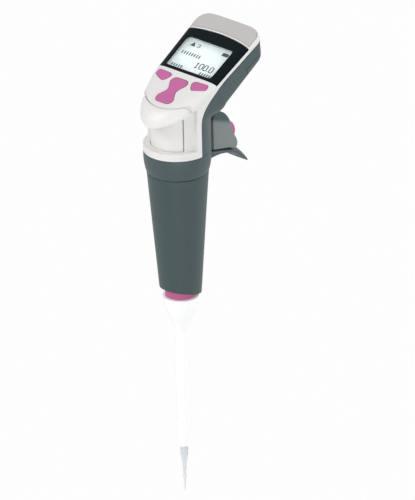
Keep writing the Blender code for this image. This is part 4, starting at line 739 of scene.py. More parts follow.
def cap_mesh(name, outline):
    """A key cap: its top edge drawn in over a quarter round."""
    centre_x = sum(x for x, y in outline) / len(outline)
    centre_y = sum(y for x, y in outline) / len(outline)
    levels = [(KEY_LIFT - KEY_DEPTH, 0.0), (KEY_LIFT - KEY_ROUND, 0.0)]
    for step in range(1, KEY_ROUND_STEPS + 1):
        turn = math.pi / 2 * step / KEY_ROUND_STEPS
        levels.append((KEY_LIFT - KEY_ROUND * (1 - math.sin(turn)), KEY_ROUND * (1 - math.cos(turn))))
    half = max(abs(x - centre_x) for x, y in outline)
    rings = []
    for level, pulled in levels:
        shrink = 1 - pulled / half
        rings.append([KEY_TURN @ Vector((
            centre_x + (x - centre_x) * shrink, centre_y + (y - centre_y) * shrink, level))
            for x, y in outline])
    return loft(name, rings)


key_pink = plastic("key_pink", (0.53, 0.115, 0.33), 0.42, 0.4 * MM, 0.15, tint=0.12, polish=0.2)
KEYS = (
    ("scroll_cap", "key_scroll", "scroll_key", scroll_outline),
    ("right_cap", "key_right", "right_key", soft_key_outline),
    ("left_cap", "key_left", "left_key", left_key_outline))
key_holes = []
for name, node, body, draw in KEYS:
    show(name, cap_mesh(name, draw(0.0)), key_pink, body, [node], crease=50.0)
    key_holes.append(("DIFFERENCE", outline_mesh(
        name + "_hole", draw(GAP), KEY_LIFT - KEY_DEPTH - KEY_TRAVEL - 2 * GAP, REACH, KEY_TURN)))

# White front shell
# One white moulding from the collar over the finger rest to the end of the head. The thumb
# pocket, the stem's slot, the recesses of the face, the display opening and the key holes are
# cut into it.

MODULE_SIZE = (36.0 * MM, 23.6 * MM, 20 * MM)
MODULE_MIDDLE = 12.9 * MM
front_shell = carve(
    head_mesh("front_shell", 0.0, 0.0),
    ("INTERSECT", outline_mesh("in_front", seam_outline(-GAP / 2, True), -REACH, REACH, SIDE_VIEW)),
    ("DIFFERENCE", rim_block("rim_recess", RIM_RADIUS - RIM_GAP, RIM_HALF_ANGLE, RIM_LOW)),
    ("DIFFERENCE", front_cavity),
    ("DIFFERENCE", outline_mesh("pocket", sector_outline(
        POCKET_RADIUS, POCKET_OUTER, POCKET_HALF_ANGLE), POCKET_FLOOR, POCKET_TOP)),
    ("DIFFERENCE", outline_mesh("mid_pocket", sector_outline(
        MID_RADIUS, POCKET_OUTER, MID_HALF_ANGLE), POCKET_FLOOR, MID_TOP)),
    ("DIFFERENCE", outline_mesh("stem_slot", sector_outline(
        STEM_RADIUS - STEM_WALL - GAP * 0.8, STEM_RADIUS + GAP, STEM_HALF_ANGLE + STEM_PLAY),
        POCKET_FLOOR - HOUSING_WALL - MM, POCKET_FLOOR + MM)),
    ("DIFFERENCE", skin_recess("window_recess", window_outline(GAP), BEZEL_LOW - GAP, PLATE + GAP)),
    ("DIFFERENCE", skin_recess("crown_recess", crown_outline(GAP), CROWN_LOW - GAP, PLATE + GAP)),
    ("DIFFERENCE", box_mesh(
        "module_opening", MODULE_SIZE, (0.0, MODULE_MIDDLE, 0.0), HEAD_TURN)),
    *key_holes)
show("front_shell", front_shell, shell_white, "housing", ["front_housing"])

# Dark rear shell and battery cover
# The back of neck and head in grained dark plastic, held to the front by two screws. The
# cover takes the lower corner of the head; two contacts look out of the end.

COVER_START = 20.0 * MM
COVER_SEAM_DEPTH = 8.7 * MM
COVER_BLOCK = (80.0 * MM, 60.0 * MM, 40.0 * MM)
behind = outline_mesh("behind", seam_outline(GAP / 2, False), -REACH, REACH, SIDE_VIEW)


def cover_block(name, grow):
    """Far more than the lower corner of the head, ending at the cover's two seams."""
    start, top = COVER_START - grow, grow - COVER_SEAM_DEPTH
    middle = (0.0, start + COVER_BLOCK[1] / 2, top - COVER_BLOCK[2] / 2)
    return box_mesh(name, COVER_BLOCK, middle, HEAD_TURN)


def round_bar(name, radius, low, high, turn=Matrix.Identity(4), sides=48):
    """A round bar along Z, turned as a whole."""
    outline = [(radius * x, radius * y) for x, y in around(sides)]
    return outline_mesh(name, outline, low, high, turn)


CONTACT_RADIUS = 1.6 * MM
CONTACT_SPREAD = 5.0 * MM
CONTACT_DROP = 5.2 * MM
CONTACT_REACH = 4.0 * MM
END_TURN = HEAD_TURN @ Matrix.Translation((0.0, HEAD_LENGTH, 0.0)) @ Matrix.Rotation(
    -HEAD_END_LEAN, 4, "X") @ Matrix.Translation((0.0, 0.0, -CONTACT_DROP)) @ Matrix.Rotation(
    -math.pi / 2, 4, "X")
SCREW_X = 9.0 * MM
SCREW_LEVEL = 10.0 * MM
SCREW_SEAT = 14.2 * MM
# Boss, well and bore of a screw in millimetres: radius, and where each starts and ends
SCREW_FORMS = (
    ("UNION", "screw_boss", 2.5, -7.9, 0.9), ("DIFFERENCE", "screw_well", 2.3, -1.7, 10.0),
    ("DIFFERENCE", "screw_bore", 1.3, -14.0, 0.0))
rear_cuts = [
    ("INTERSECT", behind), ("DIFFERENCE", cavity), ("DIFFERENCE", cover_block("cover_gap", GAP / 2))]
for x in (-CONTACT_SPREAD, CONTACT_SPREAD):
    rear_cuts.append(("DIFFERENCE", round_bar(
        "contact_hole", CONTACT_RADIUS + GAP, -CONTACT_REACH, CONTACT_REACH,
        END_TURN @ Matrix.Translation((x, 0, 0)))))
for x in (-SCREW_X, SCREW_X):
    seat = Matrix.Translation((x, SCREW_SEAT, SCREW_LEVEL)) @ Matrix.Rotation(-math.pi / 2, 4, "X")
    for operation, name, radius, low, high in SCREW_FORMS:
        rear_cuts.append((operation, round_bar(name, radius * MM, low * MM, high * MM, seat)))
show("rear_shell", carve(head_mesh("rear_shell", 0.0, 0.0), *rear_cuts),
     shell_dark, "housing", ["rear_housing"])
show("battery_door", carve(
    head_mesh("battery_door", 0.0, 0.0), ("INTERSECT", cover_block("cover_part", -GAP / 2)),
    ("DIFFERENCE", cavity)), shell_dark, "cover", ["battery_cover"])

# Display
# A pale lit cell behind a clear pane, a little greyer towards its corners. It shows generic
# marks only: a small triangle, plain numbers, a battery block and rows of small bars.

MODULE_TOP = -1.35 * MM
lcd_cell, cell_tree, cell_shader = new_material("lcd_cell")
cell_place = cell_tree.nodes.new("ShaderNodeTexCoord")
to_face = cell_tree.nodes.new("ShaderNodeMapping")
to_face.vector_type = "TEXTURE"
to_face.inputs["Location"].default_value = LCD_TURN @ Vector((0.0, LCD_START + LCD_LENGTH / 2, 0.0))
to_face.inputs["Rotation"].default_value = (DISPLAY_TILT, 0.0, 0.0)
to_face.inputs["Scale"].default_value = (LCD_WIDTH / 2, LCD_LENGTH / 2, 1.0)
cell_tree.links.new(cell_place.outputs["Object"], to_face.inputs["Vector"])
rim_share = cell_tree.nodes.new("ShaderNodeTexGradient")
rim_share.gradient_type = "QUADRATIC_SPHERE"
spread = cell_tree.nodes.new("ShaderNodeVectorMath")
spread.operation = "SCALE"
spread.inputs["Scale"].default_value = 0.62
flatten = cell_tree.nodes.new("ShaderNodeVectorMath")
flatten.operation = "MULTIPLY"
flatten.inputs[1].default_value = (1.0, 1.0, 0.0)
cell_tree.links.new(to_face.outputs["Vector"], flatten.inputs[0])
cell_tree.links.new(flatten.outputs[0], spread.inputs[0])
cell_tree.links.new(spread.outputs[0], rim_share.inputs["Vector"])
cell_colour = cell_tree.nodes.new("ShaderNodeValToRGB")
cell_colour.color_ramp.elements[0].position = 0.0
cell_colour.color_ramp.elements[0].color = (0.4, 0.46, 0.445, 1.0)
cell_colour.color_ramp.elements[1].position = 0.35
cell_colour.color_ramp.elements[1].color = (0.68, 0.72, 0.73, 1.0)
cell_tree.links.new(rim_share.outputs["Fac"], cell_colour.inputs["Fac"])
cell_tree.links.new(cell_colour.outputs["Color"], cell_shader.inputs["Base Color"])
cell_tree.links.new(cell_colour.outputs["Color"], cell_shader.inputs["Emission Color"])
cell_shader.inputs["Emission Strength"].default_value = 0.45
cell_shader.inputs["Roughness"].default_value = 0.35


def clear_plastic(name, colour, clearness, bending, speckle, smooth, rough):
    """A clear material: its roughness drifts between two values in speckles of this scale."""
    made, tree, shader = new_material(name)
    shader.inputs["Base Color"].default_value = (*colour, 1.0)
    shader.inputs["Transmission Weight"].default_value = clearness
    shader.inputs["IOR"].default_value = bending
    smears = tree.nodes.new("ShaderNodeTexNoise")
    smears.inputs["Scale"].default_value = speckle
    gloss = tree.nodes.new("ShaderNodeMapRange")
    gloss.inputs["To Min"].default_value = smooth
    gloss.inputs["To Max"].default_value = rough
    tree.links.new(smears.outputs["Fac"], gloss.inputs["Value"])
    tree.links.new(gloss.outputs["Result"], shader.inputs["Roughness"])
    return made


PANE_TOP = -0.35 * MM
PANE_THICKNESS = 0.7 * MM
PANE_PLAY = 0.1 * MM
clear_pane = clear_plastic("clear_pane", (0.97, 0.99, 1.0), 1.0, 1.3, 120.0, 0.01, 0.05)
pane_outline = rounded_outline(
    LCD_WIDTH / 2 - PANE_PLAY, LCD_START + PANE_PLAY, LCD_START + LCD_LENGTH - PANE_PLAY, LCD_CORNER)
show("display_pane", outline_mesh(
    "display_pane", pane_outline, PANE_TOP - PANE_THICKNESS, PANE_TOP, LCD_TURN),
    clear_pane, "housing", ["display_lens"])

DOT_GLYPHS = {
    "0": (" ### ", "#   #", "#   #", "#   #", "#   #", "#   #", " ### "),
    "1": ("  #  ", " ##  ", "  #  ", "  #  ", "  #  ", "  #  ", " ### "),
    "3": (" ### ", "#   #", "    #", "  ## ", "    #", "#   #", " ### "),
    ".": (" ", " ", " ", " ", " ", " ", "#"),
}
mark_cells = []


def mark(x, y, width, height):
    """One dark block of the display, given by its lower left corner on the face."""
    mark_cells.append((x, y, width, height))


def write(text, left, low, pitch_x, pitch_y):
    """A plain number in dots, from its lower left corner."""
    for letter in text:
        rows = DOT_GLYPHS[letter]
        for row, dots in enumerate(rows):
            for column, dot in enumerate(dots):
                if dot == "#":
                    mark(left + column * pitch_x, low + (len(rows) - 1 - row) * pitch_y,
                         pitch_x * 1.3, pitch_y * 0.99)
        left += (len(rows[0]) + 1) * pitch_x


def across(share):
    """This share of the way across the display, from its left edge."""
    return (share - 0.5) * LCD_WIDTH


def down(share):
    """This share of the way down the display, from its upper edge."""
    return LCD_START + LCD_LENGTH * (1 - share)


def bars(left, low, count, pitch, width, height):
    """A row of equal upright bars."""
    for index in range(count):
        mark(left + index * pitch, low, width, height)


BIG_DOT = (0.52 * MM, 0.60 * MM)
SMALL_DOT = (0.40 * MM, 0.34 * MM)
write("100.0", across(0.485), down(0.79), *BIG_DOT)
write("3", across(0.255), down(0.20), *SMALL_DOT)
TRIANGLE_ROWS = 8
TRIANGLE_WIDTH = 3.4 * MM
TRIANGLE_STEP = 0.34 * MM
for row in range(TRIANGLE_ROWS):
    width = (TRIANGLE_ROWS - row) / TRIANGLE_ROWS * TRIANGLE_WIDTH
    mark(across(0.165) - width / 2, down(0.20) + row * TRIANGLE_STEP, width, TRIANGLE_STEP * 1.03)
BATTERY_WIDTH = 4.2 * MM
BATTERY_HEIGHT = 2.2 * MM
BATTERY_NUB = (0.4 * MM, 1.0 * MM)
mark(across(0.80), down(0.19), BATTERY_WIDTH, BATTERY_HEIGHT)
mark(across(0.80) + BATTERY_WIDTH, down(0.19) + (BATTERY_HEIGHT - BATTERY_NUB[1]) / 2, *BATTERY_NUB)
BAR_WIDTH = 0.8 * MM
bars(across(0.07), down(0.50), 8, 1.75 * MM, BAR_WIDTH, 2.2 * MM)
bars(across(0.06), down(0.93), 5, 1.7 * MM, BAR_WIDTH, 1.8 * MM)
bars(across(0.68), down(0.94), 6, 1.7 * MM, BAR_WIDTH, 1.8 * MM)

MARK_LOW = MODULE_TOP + 0.005 * MM
MARK_HIGH = MODULE_TOP + 0.03 * MM
marks_shape = bmesh.new()
for x, y, width, height in mark_cells:
    corners = [(x, y), (x + width, y), (x + width, y + height), (x, y + height)]
    lower = [marks_shape.verts.new(LCD_TURN @ Vector((*corner, MARK_LOW))) for corner in corners]
    upper = [marks_shape.verts.new(LCD_TURN @ Vector((*corner, MARK_HIGH))) for corner in corners]
    marks_shape.faces.new(upper)
    marks_shape.faces.new(list(reversed(lower)))
    for index in range(4):
        after = (index + 1) % 4
        marks_shape.faces.new((lower[index], lower[after], upper[after], upper[index]))
marks_mesh = bpy.data.meshes.new("display_marks")
marks_shape.to_mesh(marks_mesh)
marks_shape.free()
mark_ink = plastic("mark_ink", (0.02, 0.035, 0.05), 0.6, 0.3 * MM, 0.02, tint=0.3)
display_marks = show("display_marks", marks_mesh, mark_ink, "housing")

# Thumb hood and stem
# The white hood bulges out under the key face, closes in a round nose at each side and draws
# in to a thin lip. Its stem is a curved wall that slides down through a slot in the collar.

HOOD_HALF_ANGLE = math.radians(69.0)
HOOD_REACH = 21.8 * MM
HOOD_NOSE_RADIUS = 18.8 * MM
HOOD_NOSE_DROP = 0.8 * MM
HOOD_EDGE_FALL = 1.9 * MM
HOOD_LIP = 19.2 * MM
HOOD_LIP_RISE = 6.3 * MM
HOOD_WALL = 1.8 * MM
HOOD_CLOSES_FROM = 0.86
HOOD_CLOSED = 0.93
HOOD_NOSE_FROM = 0.8
HOOD_FALL_POWER = 1.9
HOOD_FULLNESS = 0.8


def hood_ring(angle, steps=26):
    """Section of the hood at this angle from the front, closing towards its rounded ends."""
    share = abs(angle) / HOOD_HALF_ANGLE
    closing = max(share - HOOD_CLOSES_FROM, 0.0) / (1 - HOOD_CLOSES_FROM)
    close = math.sqrt(1 - HOOD_CLOSED * closing ** 2)
    rim = rim_distance(angle, RIM_RADIUS)
    face = FACE_BREAK.z - (FACE_BREAK.y + rim * math.cos(angle)) * math.tan(KEY_TILT) - GAP
    top = face - HOOD_EDGE_FALL * share ** 3 - HOOD_NOSE_DROP * smooth_step(HOOD_NOSE_FROM, 1.0, share)
    lip = HOOD_LIP + HOOD_LIP_RISE * math.sin(math.pi / 2 * share) ** 1.5
    middle = (top + lip) / 2
    high, low = mix(middle, top, close), mix(middle, lip, close)
    far = mix(HOOD_REACH, HOOD_NOSE_RADIUS, smooth_step(0.0, 0.9, share))
    bulge = (far - rim) * (0.4 + 0.6 * close)
    points = []
    for step in range(steps + 1):
        fall = step / steps
        swell = (1 - (1 - fall) ** HOOD_FALL_POWER) ** HOOD_FULLNESS
        points.append((rim + bulge * swell, mix(high, low, fall)))
    inner = POCKET_RADIUS + GAP
    lip_in = rim + bulge - HOOD_WALL * 0.6 * close
    points.append((mix(points[-1][0], lip_in, 0.5), low - 0.12 * MM * close))
    points.append((lip_in, low + 0.2 * MM * close))
    points.append((inner, low + 0.32 * (high - low)))
    points.append((max(rim, inner), min(low + 0.8 * (high - low), POCKET_TOP - GAP)))
    return [Vector((*from_front(radius, angle), z)) for radius, z in points]


HOOD_STEPS = 88
hood_rings = [
    hood_ring(HOOD_HALF_ANGLE * (2 * step / HOOD_STEPS - 1)) for step in range(HOOD_STEPS + 1)]
show("thumb_hood", loft("thumb_hood", hood_rings), shell_white, "ejector", ["ejector_hood"], crease=45.0)

STEM_FLARE_LOW = 22.4 * MM
STEM_FLARE = 0.8 * MM
STEM_TOP = MID_TOP - 0.6 * MM
EDGE_ROUND = 0.25 * MM
stem_profile = [
    (POCKET_RADIUS, STEM_TOP), (POCKET_RADIUS, STEM_FLARE_LOW + STEM_FLARE),
    (STEM_RADIUS, STEM_FLARE_LOW), (STEM_RADIUS, STEM_BOTTOM),
    (STEM_RADIUS - STEM_WALL, STEM_BOTTOM), (STEM_RADIUS - STEM_WALL, STEM_TOP)]
STEM_STEPS = 72
stem_rings = []
for step in range(STEM_STEPS + 1):
    angle = STEM_HALF_ANGLE * (2 * step / STEM_STEPS - 1)
    stem_rings.append([Vector((*from_front(radius, angle), z)) for radius, z in stem_profile])
ARM_NEAR = 6.0 * MM
ARM_WIDTH = 6.0 * MM
ARM_HEIGHT = 2.4 * MM
ARM_LIFT = 0.02 * MM
arm_far = STEM_RADIUS - STEM_WALL / 2
stem = carve(loft("hood_stem", stem_rings), ("UNION", box_mesh(
    "stem_arm", (ARM_WIDTH, arm_far - ARM_NEAR, ARM_HEIGHT),
    (0.0, -(arm_far + ARM_NEAR) / 2, STEM_BOTTOM + ARM_HEIGHT / 2 + ARM_LIFT))))
show("hood_stem", stem, shell_white, "ejector", ["ejector_stem"])

# Finger rest and hook
# A dark ring that turns round the neck, drawn in at its lower edge, with a broad hook that
# leaves it at the back, dips, arches across its width and ends in a thin lip.

RING_HEIGHT = 12.5 * MM
RING_LIP_RADIUS = 16.9 * MM
NECK_TUBE_RADIUS = 15.6 * MM


def lathe(name, profile, sides):
    """A turned piece from its closed half profile of (radius, height) points."""
    rings = [[Vector((r * x, r * y, z)) for r, z in profile] for x, y in around(sides)]
    return loft(name, rings, closed=True)


def rounded_corner(corner, before, after, radius, steps=5):
    """A fillet in a profile between its corner and the points before and after it."""
    corner, before, after = Vector(corner), Vector(before), Vector(after)
    start = corner + (before - corner).normalized() * radius
    end = corner + (after - corner).normalized() * radius
    points = []
    for step in range(steps + 1):
        share = step / steps
        points.append(tuple(start.lerp(corner, share).lerp(corner.lerp(end, share), share)))
    return points


# Side of the ring in millimetres: how far it is drawn in, and at which level
RING_TAPER = ((0.0, -3.5), (0.12, -5.5), (0.35, -7.5), (0.9, -10.4))
ring_bore = NECK_TUBE_RADIUS + GAP
ring_side = [(BODY_RADIUS - pulled * MM, level * MM) for pulled, level in RING_TAPER]
ring_profile = (
    rounded_corner((BODY_RADIUS, -GAP), (ring_bore, -GAP), ring_side[0], EDGE_ROUND) + ring_side
    + rounded_corner(
        (RING_LIP_RADIUS, -RING_HEIGHT), ring_side[-1], (ring_bore, -RING_HEIGHT), EDGE_ROUND)
    + [(ring_bore, -RING_HEIGHT), (ring_bore, -GAP)])
HOOK_HALF_WIDTH = 8.6 * MM
HOOK_ARCH = 1.8 * MM
# Hook sections in millimetres: distance out, upper and under level, and share of the full width
HOOK_SECTIONS = (
    (16.0, -6.7, -12.0, 0.78), (18.5, -6.3, -11.5, 0.96), (21.5, -6.6, -11.1, 1.0),
    (25.0, -7.5, -11.0, 1.0), (29.0, -8.6, -11.5, 1.0), (33.5, -9.9, -12.7, 1.0),
    (37.8, -11.4, -14.7, 1.0), (41.2, -13.6, -17.3, 0.99), (44.2, -16.8, -19.7, 0.95),
    (46.9, -20.0, -21.6, 0.87), (48.9, -22.0, -22.8, 0.72), (50.0, -22.9, -23.4, 0.48))


def between(rows, steps):
    """Rows of numbers with smooth steps put in between each two."""
    filled = []
    last = len(rows) - 1
    for index in range(last):
        p0, p1, p2 = rows[max(index - 1, 0)], rows[index], rows[index + 1]
        p3 = rows[min(index + 2, last)]
        for step in range(steps):
            t = step / steps
            filled.append(tuple(
                0.5 * (2 * b + (c - a) * t + (2 * a - 5 * b + 4 * c - d) * t * t
                       + (3 * b - a - 3 * c + d) * t ** 3)
                for a, b, c, d in zip(p0, p1, p2, p3)))
    return filled + [rows[last]]


HOOK_SIDES = 48
HOOK_LEAN = 0.9 * MM
hook_rings = []
for y, top, under, width in between(HOOK_SECTIONS, 4):
    lean = HOOK_LEAN * smooth_step(33.0, 50.0, y)
    upper = Vector((0.0, y * MM + lean, top * MM))
    lower = Vector((0.0, y * MM - lean, under * MM))
    middle, half = (upper + lower) / 2, (upper - lower) / 2
    arch = HOOK_ARCH * smooth_step(36.0, 44.0, y)
    ring = []
    for aside, high in around(HOOK_SIDES, 0.5):
        side_share = math.copysign(abs(aside) ** 0.6, aside)
        high = math.copysign(abs(high) ** 0.8, high)
        ring.append(middle + half * high + Vector((
            side_share * HOOK_HALF_WIDTH * width, 0.0, arch * (1 - side_share ** 2))))
    hook_rings.append(ring)
support = carve(lathe("finger_support", ring_profile, 144), ("UNION", loft("hook", hook_rings)))
show("finger_ring_and_hook", support, shell_dark, "finger_support", ["finger_rest"])

# Trigger block and trigger
# A mid-grey block stands on the hook behind the neck. A narrower near-black core in front of it is
# painted shadow, standing for a deep gap at its front. Its rounded crown is darkened by painted shade
# and reflection. The pink trigger looks out at the rear.

BLOCK_WIDTH = 16.0 * MM
BLOCK_CLEARANCE = 1.3 * MM
BLOCK_FRONT = 20.4 * MM
CORE_FRONT = 16.0 * MM
CORE_WIDTH = 13.0 * MM
CORE_LEVELS = (-5.0 * MM, 10.6 * MM)
BLOCK_FRONT_LEVELS = (-5.9 * MM, 9.5 * MM)
# Side view in millimetres: over the top to the rear of the block, then its foot along the hook
BLOCK_POINTS = (
    (12.6, 20.4), (14.1, 21.6), (14.9, 23.6), (14.9, 25.8), (13.7, 28.2), (11.6, 30.6), (8.9, 32.6),
    (6.0, 34.0), (3.0, 35.0), (-0.6, 36.1), (-3.6, 37.6), (-5.8, 38.8), (-7.8, 39.3), (-9.6, 39.0))
BLOCK_FOOT = ((-10.7, 38.0), (-10.3, 36.6), (-8.9, 33.2))
block_side = [(BLOCK_FRONT, level) for level in BLOCK_FRONT_LEVELS]
block_side += [(y * MM, z * MM) for z, y in between(BLOCK_POINTS, 4) + list(BLOCK_FOOT)]


def soften(mesh, width, segments=3, limit=50.0):
    """The mesh with its sharp edges rounded."""
    body = new_object(mesh.name, mesh)
    edges = body.modifiers.new("rounded", "BEVEL")
    edges.width = width
    edges.segments = segments
    edges.limit_method = "ANGLE"
    edges.angle_limit = math.radians(limit)
    return applied_mesh(body, mesh.name)


TRIGGER_WIDTH = 11.0 * MM
TRIGGER_LOW, TRIGGER_HIGH = -4.2 * MM, 4.5 * MM
TRIGGER_FRONT = 31.9 * MM
TRIGGER_ROUND = 0.8 * MM
BLOCK_ROUND = 0.7 * MM
OPENING_FRONT = 25.6 * MM
OPENING_DEPTH = 30.0 * MM
trigger_opening = box_mesh(
    "trigger_opening",
    (TRIGGER_WIDTH + 2 * GAP, OPENING_DEPTH, TRIGGER_HIGH - TRIGGER_LOW + 2 * GAP),
    (0.0, OPENING_FRONT + OPENING_DEPTH / 2, (TRIGGER_HIGH + TRIGGER_LOW) / 2))
block = outline_mesh("trigger_housing", block_side, -BLOCK_WIDTH / 2, BLOCK_WIDTH / 2, SIDE_VIEW)
block = carve(soften(block, BLOCK_ROUND), ("DIFFERENCE", trigger_opening))

BLOCK_COLOUR = (0.18, 0.205, 0.205)
# Painted shade and reflection: the near-black colour given to the block's rounded crown
CROWN_PAINTED_SHADE = (0.035, 0.062, 0.07)
block_grey = plastic("block_grey", BLOCK_COLOUR, 0.42, 0.4 * MM, 0.3, tint=0.16, polish=0.2)
block_tree = block_grey.node_tree
# Painted shade: the block's colour fades to the crown's painted shade above a level that falls towards
# the rear
block_place = block_tree.nodes.new("ShaderNodeTexCoord")
crown_height = block_tree.nodes.new("ShaderNodeVectorMath")
crown_height.operation = "DOT_PRODUCT"
crown_height.inputs[1].default_value = (0.0, 0.39, 1.0)
crown_shade_share = block_tree.nodes.new("ShaderNodeMapRange")
crown_shade_share.interpolation_type = "SMOOTHSTEP"
crown_shade_share.inputs["From Min"].default_value = 17.6 * MM
crown_shade_share.inputs["From Max"].default_value = 20.6 * MM
crown_shade_ramp = block_tree.nodes.new("ShaderNodeValToRGB")
crown_shade_ramp.color_ramp.elements[0].color = (*BLOCK_COLOUR, 1.0)
crown_shade_ramp.color_ramp.elements[1].color = (*CROWN_PAINTED_SHADE, 1.0)
block_tree.links.new(block_place.outputs["Object"], crown_height.inputs[0])
block_tree.links.new(crown_height.outputs["Value"], crown_shade_share.inputs["Value"])
block_tree.links.new(crown_shade_share.outputs["Result"], crown_shade_ramp.inputs["Fac"])
block_tree.links.new(crown_shade_ramp.outputs["Color"], block_tree.nodes["Group"].inputs["Colour"])
show("trigger_housing", block, block_grey, "finger_support", ["trigger_block"])

# Painted shadow: a near-black piece fills the gap in front of the block, where shade falls between block
# and neck
shadow_core_mesh = carve(
    box_mesh("block_shadow_core", (CORE_WIDTH, BLOCK_FRONT - CORE_FRONT, CORE_LEVELS[1] - CORE_LEVELS[0]), (
        0.0, (BLOCK_FRONT + CORE_FRONT) / 2, sum(CORE_LEVELS) / 2)),
    ("DIFFERENCE", round_bar(
        "neck_clearance", BODY_RADIUS + BLOCK_CLEARANCE, -BODY_RADIUS, BODY_RADIUS, sides=144)))
core_painted_shadow = plastic("core_painted_shadow", (0.012, 0.016, 0.017), 0.6, 0.4 * MM, 0.2, tint=0.2)
show("block_shadow_core", shadow_core_mesh, core_painted_shadow, "finger_support", ["trigger_block"])

# Rear face of the trigger in side view
TRIGGER_POINTS = (
    (TRIGGER_HIGH, 36.6 * MM), (3.6 * MM, 38.2 * MM), (1.9 * MM, 39.4 * MM), (0.1 * MM, 40.1 * MM),
    (-1.7 * MM, 40.4 * MM), (-3.2 * MM, 40.1 * MM), (TRIGGER_LOW, 39.4 * MM))
trigger_side = [(TRIGGER_FRONT, TRIGGER_LOW), (TRIGGER_FRONT, TRIGGER_HIGH)]
trigger_side += [(y, z) for z, y in between(TRIGGER_POINTS, 4)]
trigger = soften(outline_mesh(
    "trigger", trigger_side, -TRIGGER_WIDTH / 2, TRIGGER_WIDTH / 2, SIDE_VIEW), TRIGGER_ROUND)
show("trigger", trigger, key_pink, "trigger", ["trigger_button"])

# Grip
# A smooth tapered shell in dark plastic on the neck tube, with a fine gap under the finger
# rest and a lower edge that is raked down towards the back.

GRIP_TOP = -RING_HEIGHT - GAP
GRIP_BOTTOM = -84.2 * MM
GRIP_TOP_RADIUS = 16.9 * MM
GRIP_BOTTOM_RADIUS = 11.45 * MM
GRIP_WALL_TOP = 1.8 * MM
GRIP_WALL_BOTTOM = 1.05 * MM
GRIP_RAKE = 0.25
GRIP_ROUND = 0.45 * MM
GRIP_WEB = 1.5 * MM
FLANGE_RADIUS = 12.0 * MM


def grip_share(z):
    """The share of the grip's length that lies above this level."""
    return (z - GRIP_TOP) / (GRIP_BOTTOM - GRIP_TOP)


def grip_radius(z):
    """Outside of the grip at this level."""
    return mix(GRIP_TOP_RADIUS, GRIP_BOTTOM_RADIUS, grip_share(z))


def grip_bore(z):
    """Inside of the grip at this level."""
    return grip_radius(z) - mix(GRIP_WALL_TOP, GRIP_WALL_BOTTOM, grip_share(z))


def grip_ring(radius, z, sides=128):
    """One ring of the grip, raked lower at the back towards its lower end."""
    rake = GRIP_RAKE * smooth_step(0.0, 1.0, grip_share(z)) ** 2
    return [Vector((radius * x, radius * y, z - rake * radius * y)) for x, y in around(sides)]


grip_rings = []
ROUND_STEPS = 5
for step in range(ROUND_STEPS + 1):
    turn = math.pi / 2 * step / ROUND_STEPS
    radius = grip_radius(GRIP_TOP) - GRIP_ROUND * (1 - math.sin(turn))
    grip_rings.append(grip_ring(radius, GRIP_TOP - GRIP_ROUND * (1 - math.cos(turn))))
GRIP_STEPS = 24
for step in range(1, GRIP_STEPS):
    level = mix(GRIP_TOP - GRIP_ROUND, GRIP_BOTTOM + GRIP_ROUND, step / GRIP_STEPS)
    grip_rings.append(grip_ring(grip_radius(level), level))
for step in range(ROUND_STEPS + 1):
    turn = math.pi / 2 * step / ROUND_STEPS
    radius = grip_radius(GRIP_BOTTOM) - GRIP_ROUND * (1 - math.cos(turn))
    grip_rings.append(grip_ring(radius, GRIP_BOTTOM + GRIP_ROUND * (1 - math.sin(turn))))
BORE_STEPS = 6
for step in range(BORE_STEPS + 1):
    level = mix(GRIP_BOTTOM, GRIP_TOP - GRIP_WEB, step / BORE_STEPS)
    grip_rings.append(grip_ring(grip_bore(level), level))
grip_rings.append(grip_ring(FLANGE_RADIUS, GRIP_TOP - GRIP_WEB))
grip_rings.append(grip_ring(FLANGE_RADIUS, GRIP_TOP))
grip_dark = plastic("grip_dark", (0.039, 0.064, 0.069), 0.52, 0.45 * MM, 0.45, tint=0.14)
show("hand_grip", loft("hand_grip", grip_rings, closed=True), grip_dark, "housing", ["grip_shell"])

# Colour ring and ejector sleeve
# A pink ring on the sleeve's neck marks the volume. Below it the white sleeve swells out from
# its shoulder, runs down in a long S to a slim barrel and closes in a curve above the tip.

SLEEVE_TOP = -74.5 * MM
SLEEVE_COLLAR_RADIUS = 9.0 * MM
SLEEVE_NECK_RADIUS = 7.6 * MM
SLEEVE_WALL = 0.8 * MM
SLEEVE_COLLAR = 2.2 * MM
SHOULDER_Z = -87.3 * MM
FUNNEL_RADIUS = 10.0 * MM
BARREL_TOP = -109.5 * MM
BARREL_BOTTOM = -168.0 * MM
BARREL_RADIUS = 3.95 * MM
SLEEVE_END = -178.5 * MM
SLEEVE_END_RADIUS = 2.5 * MM
RING_RADIUS = 8.6 * MM
RING_ROUND = 0.2 * MM
SHOULDER_ROUND = 0.25 * MM
FUNNEL_HOLLOW = 9.0 * MM
FUNNEL_POWER = 1.12
NOSE_POWER = 1.6
ring_inner = SLEEVE_NECK_RADIUS + GAP
ring_top, ring_low = SLEEVE_TOP - SLEEVE_COLLAR - GAP, SHOULDER_Z + GAP
ring_pink = plastic("ring_pink", (0.5, 0.1, 0.26), 0.4, 0.4 * MM, 0.12, tint=0.1, polish=0.2)
show("marker_ring", lathe("marker_ring", (
    rounded_corner((RING_RADIUS, ring_top), (ring_inner, ring_top), (RING_RADIUS, ring_low), RING_ROUND)
    + rounded_corner((RING_RADIUS, ring_low), (RING_RADIUS, ring_top), (ring_inner, ring_low), RING_ROUND)
    + [(ring_inner, ring_low), (ring_inner, ring_top)]), 96), ring_pink, "ejector", ["colour_ring"])

FUNNEL_FALL = BARREL_TOP - SHOULDER_Z


def funnel_radius(z):
    """From the shoulder down to the barrel in a long S."""
    share = (z - SHOULDER_Z) / FUNNEL_FALL
    return mix(FUNNEL_RADIUS, BARREL_RADIUS, smooth_step(0.0, 1.0, share ** FUNNEL_POWER))


def nose_radius(z):
    """The barrel, closing in a curve at its lower end."""
    share = (BARREL_BOTTOM - z) / (BARREL_BOTTOM - SLEEVE_END)
    return mix(BARREL_RADIUS - 0.1 * MM, SLEEVE_END_RADIUS, share ** NOSE_POWER)


